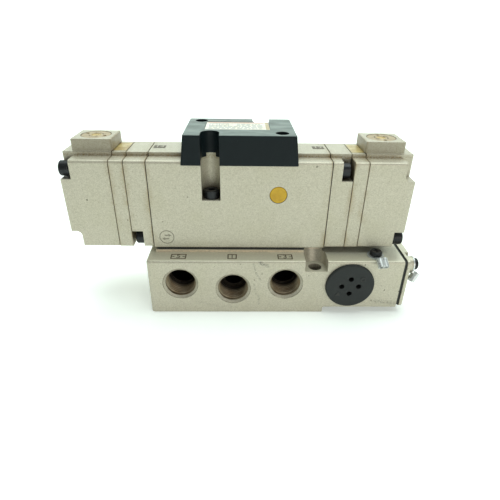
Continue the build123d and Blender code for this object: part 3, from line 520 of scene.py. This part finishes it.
def winding_copper(name):
    """Enamelled wire, laid in level turns around the Z axis, with painted shade between the turns and
    painted highlight on their crests.
    """
    g = Graph(name)
    turns = g.math("SINE", g.math("MULTIPLY", g.axis("Z"), 2 * math.pi / (0.32 * MM)))
    # painted shade and highlight: the copper darkens between turns and lightens on them
    color = g.mix(g.ramp(turns, -1.0, 1.0), rgb(0.22, 0.06, 0.02), rgb(0.62, 0.24, 0.08))
    g.relief(turns, 0.08 * MM, strength=0.8)
    return g.set(color=color, metallic=0.8, roughness=0.32)


def indicator_red(name):
    """Clear red resin of the indicator lamps."""
    g = Graph(name)
    tone = g.noise(1.0 * MM, detail=2.0)
    color = g.mix(tone, rgb(0.45, 0.02, 0.01), rgb(0.60, 0.05, 0.02))
    return g.set(color=color, roughness=0.12, transmission=0.35, coat=0.4)


# ---------------------------------------------------------------- materials of the CAD nodes
# each scratch on the base's front: X and Z of its start, then of its end, its half width (all in mm)
# and its strength
BASE_SCRATCHES = (
    ((9.5, 29.4), (13.6, 27.6), 1.3, 0.85),
    ((6.8, 28.4), (7.6, 25.0), 0.8, 0.55),
    ((8.2, 23.5), (10.2, 19.8), 0.7, 0.6),
    ((7.4, 17.0), (8.4, 11.0), 0.7, 0.45),
    ((9.6, 10.0), (10.0, 5.0), 0.8, 0.55),
    ((-22.0, 6.5), (-8.5, 3.0), 0.6, 0.3),
    ((69.5, 7.0), (79.5, 5.6), 1.7, 0.6),
)


def slot_materials():
    """One material for each material slot of the record."""
    return {
        "cast_paint": cast_paint("paint_body", joint_planes, step=(STRIP_EDGE, SHOULDER_TOP)),
        "black_plastic": moulded_black("moulded_black"),
        "white_plastic": plain_plastic("bobbin_nylon", rgb(0.66, 0.63, 0.55), rgb(0.75, 0.73, 0.66), 0.45),
        "rubber": gasket_rubber("gasket_rubber"),
        "black_oxide": black_oxide("screws_black_oxide"),
        "zinc_plate": plated("bright_zinc", rgb(0.52, 0.55, 0.54), rgb(0.86, 0.89, 0.88), 0.26, grain=2.2,
                             metallic=0.6),
        "steel": plated("lapped_steel", rgb(0.42, 0.42, 0.41), rgb(0.66, 0.66, 0.64), 0.2),
        "spring_steel": plated("spring_wire", SPRING_DARK, SPRING_LIGHT, 0.25),
        "bronze": turned_disc("bronze_disc"),
        "brass": plated("worn_brass", rgb(0.50, 0.34, 0.10), rgb(0.80, 0.62, 0.28), 0.26),
        "copper_wire": winding_copper("enamelled_wire"),
        "yellow_plug": enamel_yellow("yellow_plug"),
        "paper_label": label_film("cream_film", rgb(0.80, 0.78, 0.70), rgb(0.74, 0.68, 0.50), 0.7),
        "gold_label": label_film("gold_film", rgb(0.58, 0.46, 0.17), rgb(0.36, 0.235, 0.07), 0.9),
        "circuit_green": plain_plastic("solder_resist", rgb(0.01, 0.08, 0.03), rgb(0.02, 0.13, 0.05), 0.3),
        "lamp_red": indicator_red("lamp_resin"),
    }


def paint_everything():
    materials = slot_materials()
    for part in record["subparts"]:
        dress(nodes[part["node"]], materials[part["material_slot"]])
    solenoid_paint = cast_paint("paint_solenoid", joint_planes, step=(STRIP_EDGE, SHOULDER_TOP),
                                boss_above=STRIP_TOP + 0.1 * MM)
    for side in ("left", "right"):
        dress(nodes[f"solenoid_block_{side}"], solenoid_paint)
    scratches = [((x0 * MM, front_y, z0 * MM), (x1 * MM, front_y, z1 * MM), width_mm * MM, strength)
                 for (x0, z0), (x1, z1), width_mm, strength in BASE_SCRATCHES]
    ports = [(Vector(item["pos_m"]), item["dims"]["r_mm"] * MM, item["axis"][1]) for item in port_mounts]
    base_paint = cast_paint("paint_base", scratches=scratches, ports=ports,
                            pad_above=BASE_TOP + 0.05 * MM, hollow_shade_start=0.34)
    for name in ("base_block", "base_end_cover"):
        dress(nodes[name], base_paint)
    dress(nodes["cable_grommet"], grommet_rubber("grommet_rubber"))


def dress(thing, material):
    thing.data.materials.clear()
    thing.data.materials.append(material)


# ---------------------------------------------------------------- mesh pieces
def add_piece(name, mesh_builder, material, smooth=False):
    """A mesh of its own that rides on the fixed body."""
    mesh = bpy.data.meshes.new(name)
    bm = bmesh.new()
    mesh_builder(bm)
    bmesh.ops.recalc_face_normals(bm, faces=bm.faces)
    bm.to_mesh(mesh)
    bm.free()
    if smooth:
        for polygon in mesh.polygons:
            polygon.use_smooth = True
    piece = bpy.data.objects.new(name, mesh)
    bpy.context.scene.collection.objects.link(piece)
    mesh.materials.append(material)
    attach(piece, FIXED_BODY)
    return piece


def add_prism(bm, outline, base, along):
    """Closed prism: a planar outline (3-D points) pushed along a vector."""
    low = [bm.verts.new(Vector(base) + Vector(p)) for p in outline]
    high = [bm.verts.new(Vector(base) + Vector(p) + Vector(along)) for p in outline]
    bm.faces.new(low)
    bm.faces.new(list(reversed(high)))
    count = len(outline)
    for i in range(count):
        j = (i + 1) % count
        bm.faces.new((low[i], low[j], high[j], high[i]))


def add_slab(bm, low, high):
    """A box between two opposite corners."""
    outline = [(0, 0, 0), (high[0] - low[0], 0, 0), (high[0] - low[0], high[1] - low[1], 0),
               (0, high[1] - low[1], 0)]
    add_prism(bm, outline, low, (0, 0, high[2] - low[2]))


ACROSS = Vector((1, 0, 0))
BACKWARD = Vector((0, 1, 0))
UPWARD = Vector((0, 0, 1))


def circle_points(radius, angles, up):
    return [(ACROSS * math.cos(a) + up * math.sin(a)) * radius for a in angles]


def add_arc_band(bm, centre, inner, outer, start, end, along, up, steps):
    """A flat curved band with thickness, between two angles about a centre."""
    angles = [start + (end - start) * i / steps for i in range(steps + 1)]
    outline = circle_points(outer, angles, up) + circle_points(inner, reversed(angles), up)
    add_prism(bm, outline, centre, along)


def add_ring(bm, centre, inner, outer, along, up, steps):
    """A flat closed ring with thickness."""
    angles = [2 * math.pi * i / steps for i in range(steps)]
    loops = []
    for radius, lift in ((outer, 0), (outer, 1), (inner, 1), (inner, 0)):
        base = Vector(centre) + Vector(along) * lift
        loops.append([bm.verts.new(base + p) for p in circle_points(radius, angles, up)])
    for k, loop in enumerate(loops):
        beyond = loops[(k + 1) % len(loops)]
        for i in range(steps):
            j = (i + 1) % steps
            bm.faces.new((loop[i], loop[j], beyond[j], beyond[i]))


def add_loft(bm, sections):
    """A closed tube through sections that all have the same number of points."""
    previous = None
    for section in sections:
        loop = [bm.verts.new(point) for point in section]
        if previous is None:
            bm.faces.new(loop)
        else:
            for k in range(len(loop)):
                n = (k + 1) % len(loop)
                bm.faces.new((previous[k], previous[n], loop[n], loop[k]))
        previous = loop
    bm.faces.new(list(reversed(previous)))


# ---------------------------------------------------------------- threads and springs
# the 3/8 inch pipe thread; the half widths of its foot and crest are fractions of the pitch
PIPE_THREAD_PITCH = 1.337 * MM
PIPE_THREAD_DEPTH = 0.55 * MM
THREAD_FOOT = 0.46
THREAD_CREST = 0.06
THREAD_START = 0.3 * MM
THREAD_SHORTER = 1.2 * MM
THREAD_ROOT_OVERLAP = 0.02 * MM
THREAD_STEPS_PER_TURN = 48
THREAD_LEAST_FADE = 0.02

COIL_STEPS_PER_TURN = 24
COIL_SIDES = 8
COIL_TURNS = 7
# node, joint that shortens it, radius of its wire
RETURN_SPRINGS = (("override_spring", "override_press", 0.25 * MM),
                  ("armature_spring", "plunger_stroke", 0.2 * MM))


def add_thread(bm, mouth, axis, radius, length):
    """A helical thread ridge inside a bore, fading at both ends; `axis` points out of the bore."""
    across = axis.orthogonal().normalized()
    up = axis.cross(across)
    steps = int(length / PIPE_THREAD_PITCH * THREAD_STEPS_PER_TURN)
    half_turn = THREAD_STEPS_PER_TURN / 2
    foot = axis * (THREAD_FOOT * PIPE_THREAD_PITCH)
    top = axis * (THREAD_CREST * PIPE_THREAD_PITCH)
    sections = []
    for i in range(steps + 1):
        turns = i / THREAD_STEPS_PER_TURN
        angle = 2 * math.pi * turns
        fade = max(THREAD_LEAST_FADE, min(1.0, i / half_turn, (steps - i) / half_turn + THREAD_LEAST_FADE))
        place = mouth - axis * (THREAD_START + PIPE_THREAD_PITCH * turns)
        radial = across * math.cos(angle) + up * math.sin(angle)
        wall = place + radial * (radius + THREAD_ROOT_OVERLAP)
        crest = place + radial * (radius - PIPE_THREAD_DEPTH * fade)
        sections.append((wall - foot, crest - top, crest + top, wall + foot))
    add_loft(bm, sections)


def add_port_threads():
    metal = machined_bore("machined_bore")
    for item in port_mounts:
        axis = Vector(item["axis"])
        radius = item["dims"]["r_mm"] * MM
        length = item["dims"]["length_mm"] * MM
        mouth = Vector(item["pos_m"]) + axis * length / 2
        add_piece(item["name"] + "_thread",
                  lambda bm: add_thread(bm, mouth, axis, radius, length - THREAD_SHORTER),
                  metal)


def add_coil(bm, centre, radius, wire, bottom, top):
    """A closed helical wire standing on Z, with its ends inside the given heights."""
    steps = COIL_TURNS * COIL_STEPS_PER_TURN
    sections = []
    for i in range(steps + 1):
        angle = 2 * math.pi * i / COIL_STEPS_PER_TURN
        height = bottom + wire + (top - bottom - 2 * wire) * i / steps
        outward = ACROSS * math.cos(angle) + BACKWARD * math.sin(angle)
        middle = centre + outward * radius + UPWARD * height
        around = [2 * math.pi * k / COIL_SIDES for k in range(COIL_SIDES)]
        sections.append([middle + (outward * math.cos(a) + UPWARD * math.sin(a)) * wire for a in around])
    add_loft(bm, sections)


def add_springs():
    """Return springs of coiled wire, each built in its spring part's box in place of that part."""
    metal = plated("spring_wire_coil", SPRING_DARK, SPRING_LIGHT, 0.25)
    for side in ("left", "right"):
        for node, joint, wire in RETURN_SPRINGS:
            low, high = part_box(f"{node}_{side}")
            centre = Vector(((low.x + high.x) / 2, (low.y + high.y) / 2, 0))
            radius = (high.x - low.x) / 2 - wire
            coil = add_piece(f"{node}_coil_{side}",
                             lambda bm: add_coil(bm, centre, radius, wire, low.z, high.z),
                             metal, smooth=True)
            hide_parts(f"{node}_{side}")
            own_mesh(coil)


# ---------------------------------------------------------------- marks and print
# each framed port number on the base's top: its text, the X of its middle and its frame's width in mm
PORT_MARKS = (("5", -29.8, 7.6), ("1", -3.6, 4.6), ("3", 22.4, 7.4))
PORT_MARK_Y = -21.3 * MM
PORT_MARK_DEPTH = 4.6 * MM
PORT_MARK_BAR = 0.6 * MM
PORT_MARK_HEIGHT = 0.06 * MM
PORT_MARK_DASH = (1.1 * MM, 0.6 * MM)
PORT_MARK_DASH_INSET = 1.3 * MM
PORT_MARK_LEAST_REACH = 1.5 * MM
PORT_DIGIT_LIFT = 0.03 * MM
PORT_DIGIT_HEIGHT = 0.1 * MM

# each solenoid number on the strip: its text and the X and Y of its middle in mm
COIL_MARKS = (("14", -38.1, 0.2), ("12", 37.7, 1.2))
COIL_MARK_GROUND = (5.6 * MM, 4.8 * MM, 0.04 * MM)
COIL_DIGIT_SIZE = 4.4 * MM
COIL_DIGIT_LIFT = 0.08 * MM
COIL_DIGIT_HEIGHT = 0.12 * MM

FLOW_MARK_X = -35.4 * MM
FLOW_MARK_Z = 38.5 * MM
FLOW_MARK_RING = (3.2 * MM, 3.62 * MM)
FLOW_MARK_HEIGHT = 0.08 * MM
FLOW_ARROW_RISE = 0.95 * MM
# X and Z of the corners of one arrow in mm, tip at the right
FLOW_ARROW = ((-1.0, 0.3), (0.9, 0.3), (0.9, 0.85), (2.2, 0.0), (0.9, -0.85), (0.9, -0.3), (-1.0, -0.3))
MARK_SINK = 0.02 * MM

# the nameplate's print; insets and drops are measured from the plate's edges
PRINT_HEIGHT = 0.03 * MM
BAR_ROWS = 5
BAR_ROW_STEP = 2.3 * MM
BAR_HALF_WIDTH = 0.42 * MM
BAR_INSET_LEFT = 1.6 * MM
BAR_INSET_RIGHT = 3.2 * MM
BAR_DROP = 4.6 * MM
BAR_LAST_ROOM = 1.5 * MM
BAR_LENGTHS_MM = (0.8, 2.8)
BAR_GAPS_MM = (0.45, 0.9)
SYMBOL_ROWS = 2
SYMBOL_ROOM = 13 * MM
SYMBOL_INSET_LEFT = 1.8 * MM
SYMBOL_DROP = 8.2 * MM
SYMBOL_BOX = 4.4 * MM
SYMBOL_LINE = 0.22 * MM
SYMBOL_LEAN = 0.9 * MM
SYMBOL_SPREAD = 1.0 * MM
SYMBOL_INSET = 0.4 * MM

# side of each override disc and the angle that its arrows are turned by; angles of the arrows in degrees
DISC_ARROWS = (("left", -25.0), ("right", 95.0))
DISC_ARROW_FROM = 38
DISC_ARROW_TO = 128
DISC_ARROW_POINT = 22
DISC_ARROW_HEIGHT = 0.05 * MM
DISC_ARROW_BAND = (3.0 * MM, 3.45 * MM)
DISC_ARROW_HEAD = (2.5 * MM, 3.95 * MM, 3.22 * MM)

LABEL_RULES = 4
LABEL_RULE_STEP = 2.6 * MM
LABEL_RULE_FIRST = -4.2 * MM
LABEL_RULE_WIDTH = 0.5 * MM
LABEL_RULE_NEAR = 53.4 * MM
LABEL_RULE_FAR = 57.4 * MM
LABEL_RULE_HEIGHT = 0.02 * MM

GROMMET_MARK_HEIGHT = 0.2 * MM
GROMMET_RING_PLACE = (5.9 * MM, 4.1 * MM)
GROMMET_RING = (0.9 * MM, 1.3 * MM)
GROMMET_TRIANGLE_PLACE = (-5.7 * MM, -4.6 * MM)
GROMMET_TRIANGLE_RADIUS = 1.5 * MM


def add_digits(name, text, centre, size, height, material):
    """Raised digits lying on a top face."""
    curve = bpy.data.curves.new(name, "FONT")
    curve.body = text
    curve.size = size
    curve.extrude = height / 2
    curve.align_x = "CENTER"
    curve.align_y = "CENTER"
    curve.resolution_u = 4
    drawn = bpy.data.objects.new(name, curve)
    bpy.context.scene.collection.objects.link(drawn)
    drawn.location = centre
    bpy.context.view_layer.update()
    evaluated = drawn.evaluated_get(bpy.context.evaluated_depsgraph_get())
    mesh = bpy.data.meshes.new_from_object(evaluated)
    mesh.transform(drawn.matrix_world)
    bpy.data.objects.remove(drawn)
    digits = bpy.data.objects.new(name, mesh)
    bpy.context.scene.collection.objects.link(digits)
    dress(digits, material)
    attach(digits, FIXED_BODY)


def add_pad(bm, centre, width, depth, height):
    """A flat raised rectangle on a top face."""
    x, y, z = centre
    add_slab(bm, (x - width / 2, y - depth / 2, z), (x + width / 2, y + depth / 2, z + height))


def add_frame(bm, centre, width, depth, bar, height):
    """A raised rectangular frame on a top face."""
    x, y, z = centre
    for end in (-1, 1):
        add_pad(bm, (x, y + end * (depth - bar) / 2, z), width, bar, height)
    for side in (-1, 1):
        add_pad(bm, (x + side * (width - bar) / 2, y, z), bar, depth - 2 * bar, height)


def add_port_numbers(groove):
    """Framed port numbers on the sub-plate's top, with a dash at each side where the frame is wide."""
    for text, x_mm, width_mm in PORT_MARKS:
        centre = (x_mm * MM, PORT_MARK_Y, BASE_TOP)
        width = width_mm * MM
        add_piece(f"port_mark_frame_{text}",
                  lambda bm: add_frame(bm, centre, width, PORT_MARK_DEPTH, PORT_MARK_BAR, PORT_MARK_HEIGHT),
                  groove)
        digit_centre = (centre[0], PORT_MARK_Y, BASE_TOP + PORT_DIGIT_LIFT)
        add_digits(f"port_mark_{text}", text, digit_centre, PORT_MARK_DEPTH, PORT_DIGIT_HEIGHT, groove)
        reach = width / 2 - PORT_MARK_DASH_INSET
        if reach < PORT_MARK_LEAST_REACH:
            continue
        for side, sign in (("left", -1), ("right", 1)):
            dash_centre = (centre[0] + sign * reach, PORT_MARK_Y, BASE_TOP)
            add_piece(f"port_mark_dash_{text}_{side}",
                      lambda bm: add_pad(bm, dash_centre, *PORT_MARK_DASH, PORT_MARK_HEIGHT),
                      groove)


def add_solenoid_numbers(groove):
    """Light solenoid numbers on dark grounds, on the valve's raised strip."""
    mark_paint = cast_paint("paint_marks")
    for text, x_mm, y_mm in COIL_MARKS:
        centre = (x_mm * MM, y_mm * MM, STRIP_TOP)
        add_piece(f"coil_mark_ground_{text}", lambda bm: add_pad(bm, centre, *COIL_MARK_GROUND),
                  groove)
        digit_centre = (centre[0], centre[1], STRIP_TOP + COIL_DIGIT_LIFT)
        add_digits(f"coil_mark_{text}", text, digit_centre, COIL_DIGIT_SIZE, COIL_DIGIT_HEIGHT, mark_paint)


def add_round_mark():
    """A raised ring with a plain two-way arrow, low on the body's front."""
    groove = printed_ink("round_mark_groove", rgb(0.205, 0.190, 0.145))
    centre = Vector((FLOW_MARK_X, body_front + MARK_SINK, FLOW_MARK_Z))
    out = (0, -FLOW_MARK_HEIGHT, 0)

    def build(bm):
        add_ring(bm, centre, *FLOW_MARK_RING, out, UPWARD, steps=64)
        for side in (-1, 1):
            outline = [(side * x * MM, 0, z * MM + side * FLOW_ARROW_RISE) for x, z in FLOW_ARROW]
            add_prism(bm, outline, centre, out)

    add_piece("round_flow_mark", build, groove)


def add_print_bars(bm):
    """Rows of bars of random lengths in place of the nameplate's text."""
    top = plate_high.z
    left = plate_low.x + BAR_INSET_LEFT
    limit = plate_high.x - BAR_INSET_RIGHT
    for row in range(BAR_ROWS):
        y = plate_high.y - BAR_DROP - row * BAR_ROW_STEP
        x = left if row >= SYMBOL_ROWS else left + SYMBOL_ROOM
        while x < limit - BAR_LAST_ROOM:
            end = min(x + random.uniform(*BAR_LENGTHS_MM) * MM, limit)
            add_slab(bm, (x, y - BAR_HALF_WIDTH, top), (end, y + BAR_HALF_WIDTH, top + PRINT_HEIGHT))
            x = end + random.uniform(*BAR_GAPS_MM) * MM


def add_valve_symbol(bm):
    """Two boxes with straight lines in the first and leaning lines in the second."""
    left = plate_low.x + SYMBOL_INSET_LEFT
    middle = plate_high.y - SYMBOL_DROP + SYMBOL_BOX / 2
    outside = SYMBOL_BOX + SYMBOL_LINE
    reach = SYMBOL_BOX / 2 - SYMBOL_INSET
    wide = ACROSS * SYMBOL_LINE
    for index, lean in enumerate((0.0, SYMBOL_LEAN)):
        centre = Vector((left + SYMBOL_BOX * (index + 0.5), middle, plate_high.z))
        add_frame(bm, centre, outside, outside, SYMBOL_LINE, PRINT_HEIGHT)
        for shift in (-SYMBOL_SPREAD, SYMBOL_SPREAD):
            foot = ACROSS * (shift - lean) - BACKWARD * reach
            head = ACROSS * (shift + lean) + BACKWARD * reach
            add_prism(bm, [foot, foot + wide, head + wide, head], centre, (0, 0, PRINT_HEIGHT))


def add_marks():
    """Everything cast or stamped into the paint."""
    groove = printed_ink("mark_groove", rgb(0.100, 0.080, 0.048))
    add_port_numbers(groove)
    add_solenoid_numbers(groove)
    add_round_mark()


def add_nameplate_print():
    """Generic print: rows of grey bars, a plain valve symbol, a red rule and a gold edge."""
    grey = printed_ink("ink_grey", rgb(0.30, 0.32, 0.30))
    red = printed_ink("ink_red", rgb(0.62, 0.16, 0.10))
    gold = label_film("film_gold_edge", rgb(0.50, 0.38, 0.16), rgb(0.32, 0.20, 0.07), 0.8)
    low = plate_low
    high = plate_high
    print_top = high.z + PRINT_HEIGHT
    rule = ((low.x + 0.8 * MM, high.y - 2.0 * MM, high.z), (high.x - 2.6 * MM, high.y - 1.3 * MM, print_top))
    edge = ((high.x - 1.7 * MM, low.y + 0.3 * MM, high.z), (high.x - 0.1 * MM, high.y - 0.3 * MM, print_top))
    add_piece("nameplate_bars", add_print_bars, grey)
    add_piece("nameplate_symbol", add_valve_symbol, grey)
    add_piece("nameplate_red_rule", lambda bm: add_slab(bm, *rule), red)
    add_piece("nameplate_gold_edge", lambda bm: add_slab(bm, *edge), gold)


def add_disc_arrows():
    """Two turning arrows around each override button."""
    ink = printed_ink("ink_brown", rgb(0.115, 0.078, 0.035))
    lift = (0, 0, DISC_ARROW_HEIGHT)
    for side, turn in DISC_ARROWS:
        low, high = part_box(f"override_disc_{side}")
        centre = ((low.x + high.x) / 2, (low.y + high.y) / 2, high.z)

        def build(bm):
            for half in (0, 180):
                start = math.radians(turn + half + DISC_ARROW_FROM)
                end = math.radians(turn + half + DISC_ARROW_TO)
                tip = end + math.radians(DISC_ARROW_POINT)
                add_arc_band(bm, centre, *DISC_ARROW_BAND, start, end, lift, BACKWARD, steps=20)
                corners = zip(DISC_ARROW_HEAD, (end, end, tip))
                outline = [(r * math.cos(a), r * math.sin(a), 0) for r, a in corners]
                add_prism(bm, outline, centre, lift)

        add_piece(f"override_arrows_{side}", build, ink)


def add_pilot_label_print():
    """Faint rules on the two gold labels."""
    ink = printed_ink("ink_faded", rgb(0.36, 0.27, 0.11))
    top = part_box("pilot_labels")[1].z
    ends = (("left", -LABEL_RULE_FAR, -LABEL_RULE_NEAR), ("right", LABEL_RULE_NEAR, LABEL_RULE_FAR))
    for side, x0, x1 in ends:
        def build(bm):
            for row in range(LABEL_RULES):
                y = LABEL_RULE_FIRST + row * LABEL_RULE_STEP
                add_slab(bm, (x0, y, top), (x1, y + LABEL_RULE_WIDTH, top + LABEL_RULE_HEIGHT))

        add_piece(f"pilot_label_rules_{side}", build, ink)


def add_grommet_marks():
    """Two small raised marks moulded on the rubber disc: a ring and a triangle."""
    rubber = gasket_rubber("grommet_marks_rubber")
    middle = (grommet_low + grommet_high) / 2
    face = Vector((middle.x, grommet_low.y + MARK_SINK, middle.z))
    out = (0, -GROMMET_MARK_HEIGHT, 0)

    def place(across, up):
        return face + ACROSS * across + UPWARD * up

    def ring(bm):
        add_ring(bm, place(*GROMMET_RING_PLACE), *GROMMET_RING, out, UPWARD, steps=32)

    def triangle(bm):
        angles = [math.radians(90 + 120 * i) for i in range(3)]
        corners = circle_points(GROMMET_TRIANGLE_RADIUS, angles, UPWARD)
        add_prism(bm, corners, place(*GROMMET_TRIANGLE_PLACE), out)

    add_piece("grommet_mark_ring", ring, rubber)
    add_piece("grommet_mark_triangle", triangle, rubber)


# ---------------------------------------------------------------- camera, floor and light
# the camera leans down by its elevation, turns right by its yaw and rolls about its own axis
CAMERA_PLACE = Vector((0.365, -193.41, 130.44)) * MM
CAMERA_ELEVATION = math.radians(29.31)
CAMERA_YAW = math.radians(1.58)
CAMERA_ROLL = math.radians(1.01)
CAMERA_LENS_MM = 29.22
SENSOR_MM = 36.0

FLOOR_FRONT = -3.0
FLOOR_BACK = 0.55
FLOOR_BEND = 0.5
FLOOR_BEND_STEPS = 16
FLOOR_REACH = 3.0
WALL_TOP = 3.0
FLOOR_SINK = 0.02 * MM
FLOOR_GLOW = 0.31

AMBIENT_STRENGTH = 0.22
# name, place, target, width and height in metres, watts and colour of each lamp
LAMPS = (
    ("overhead", (0.1, 0.25, 1.5), (0, 0.1, 0.0), (1.6, 1.1), 20.5, (0.90, 1.0, 0.98)),
    ("front_fill", (0.45, -1.1, 0.42), (0, 0, 0.03), (0.9, 0.5), 3.5, (1.0, 0.965, 0.89)),
)


def add_camera():
    flat_ahead = Vector((math.sin(CAMERA_YAW), math.cos(CAMERA_YAW), 0))
    level_right = Vector((math.cos(CAMERA_YAW), -math.sin(CAMERA_YAW), 0))
    ahead = flat_ahead * math.cos(CAMERA_ELEVATION) + Vector((0, 0, -math.sin(CAMERA_ELEVATION)))
    level_down = ahead.cross(level_right)
    right = level_right * math.cos(CAMERA_ROLL) - level_down * math.sin(CAMERA_ROLL)
    down = level_right * math.sin(CAMERA_ROLL) + level_down * math.cos(CAMERA_ROLL)
    data = bpy.data.cameras.new("camera")
    data.lens = CAMERA_LENS_MM
    data.sensor_width = SENSOR_MM
    data.clip_start = 0.005
    data.clip_end = 20
    camera = bpy.data.objects.new("camera", data)
    bpy.context.scene.collection.objects.link(camera)
    turn = Matrix((right, -down, -ahead)).transposed()
    camera.matrix_world = Matrix.Translation(CAMERA_PLACE) @ turn.to_4x4()
    bpy.context.scene.camera = camera


def add_floor():
    """A pale sweep: flat under the object, curving up into a wall behind it."""
    g = Graph("floor_white")
    tone = g.noise(60 * MM, detail=2.0)
    color = g.mix(tone, rgb(0.915, 0.955, 0.925), rgb(0.935, 0.970, 0.94))
    material = g.set(color=color, roughness=0.8, specular=0.2)
    g.shader.inputs["Emission Color"].default_value = rgb(0.93, 1.0, 0.955)
    g.shader.inputs["Emission Strength"].default_value = FLOOR_GLOW
    profile = [(FLOOR_FRONT, 0.0), (FLOOR_BACK, 0.0)]
    for step in range(1, FLOOR_BEND_STEPS + 1):
        angle = math.radians(90 * step / FLOOR_BEND_STEPS)
        profile.append((FLOOR_BACK + FLOOR_BEND * math.sin(angle), FLOOR_BEND * (1 - math.cos(angle))))
    profile.append((FLOOR_BACK + FLOOR_BEND, WALL_TOP))
    vertices = [(x, y, z) for y, z in profile for x in (-FLOOR_REACH, FLOOR_REACH)]
    faces = [(2 * i, 2 * i + 1, 2 * i + 3, 2 * i + 2) for i in range(len(profile) - 1)]
    mesh = bpy.data.meshes.new("floor")
    mesh.from_pydata(vertices, [], faces)
    for polygon in mesh.polygons:
        polygon.use_smooth = True
    floor = bpy.data.objects.new("floor", mesh)
    bpy.context.scene.collection.objects.link(floor)
    mesh.materials.append(material)
    floor.location.z = -FLOOR_SINK


def add_area_light(name, place, target, size, power, color):
    data = bpy.data.lights.new(name, "AREA")
    data.shape = "RECTANGLE"
    data.size, data.size_y = size
    data.energy = power
    data.color = color
    light = bpy.data.objects.new(name, data)
    bpy.context.scene.collection.objects.link(light)
    light.location = place
    direction = Vector(target) - Vector(place)
    light.rotation_euler = direction.to_track_quat("-Z", "Y").to_euler()


def add_studio():
    """Two lamps and dim surroundings, which show white to the camera alone."""
    world = bpy.data.worlds.new("studio")
    bpy.context.scene.world = world
    world.use_nodes = True
    tree = world.node_tree
    ambient = tree.nodes["Background"]
    ambient.inputs["Color"].default_value = rgb(0.95, 1.0, 0.96)
    ambient.inputs["Strength"].default_value = AMBIENT_STRENGTH
    backdrop = tree.nodes.new("ShaderNodeBackground")
    backdrop.inputs["Color"].default_value = rgb(0.97, 1.0, 0.98)
    backdrop.inputs["Strength"].default_value = 1.0
    seen = tree.nodes.new("ShaderNodeLightPath")
    mixer = tree.nodes.new("ShaderNodeMixShader")
    tree.links.new(seen.outputs["Is Camera Ray"], mixer.inputs[0])
    tree.links.new(ambient.outputs[0], mixer.inputs[1])
    tree.links.new(backdrop.outputs[0], mixer.inputs[2])
    tree.links.new(mixer.outputs[0], tree.nodes["World Output"].inputs["Surface"])
    for lamp in LAMPS:
        add_area_light(*lamp)
    bpy.context.scene.view_settings.view_transform = "Standard"


add_camera()
paint_everything()
add_port_threads()
add_springs()
add_marks()
add_nameplate_print()
add_disc_arrows()
add_pilot_label_print()
add_grommet_marks()
add_floor()
add_studio()
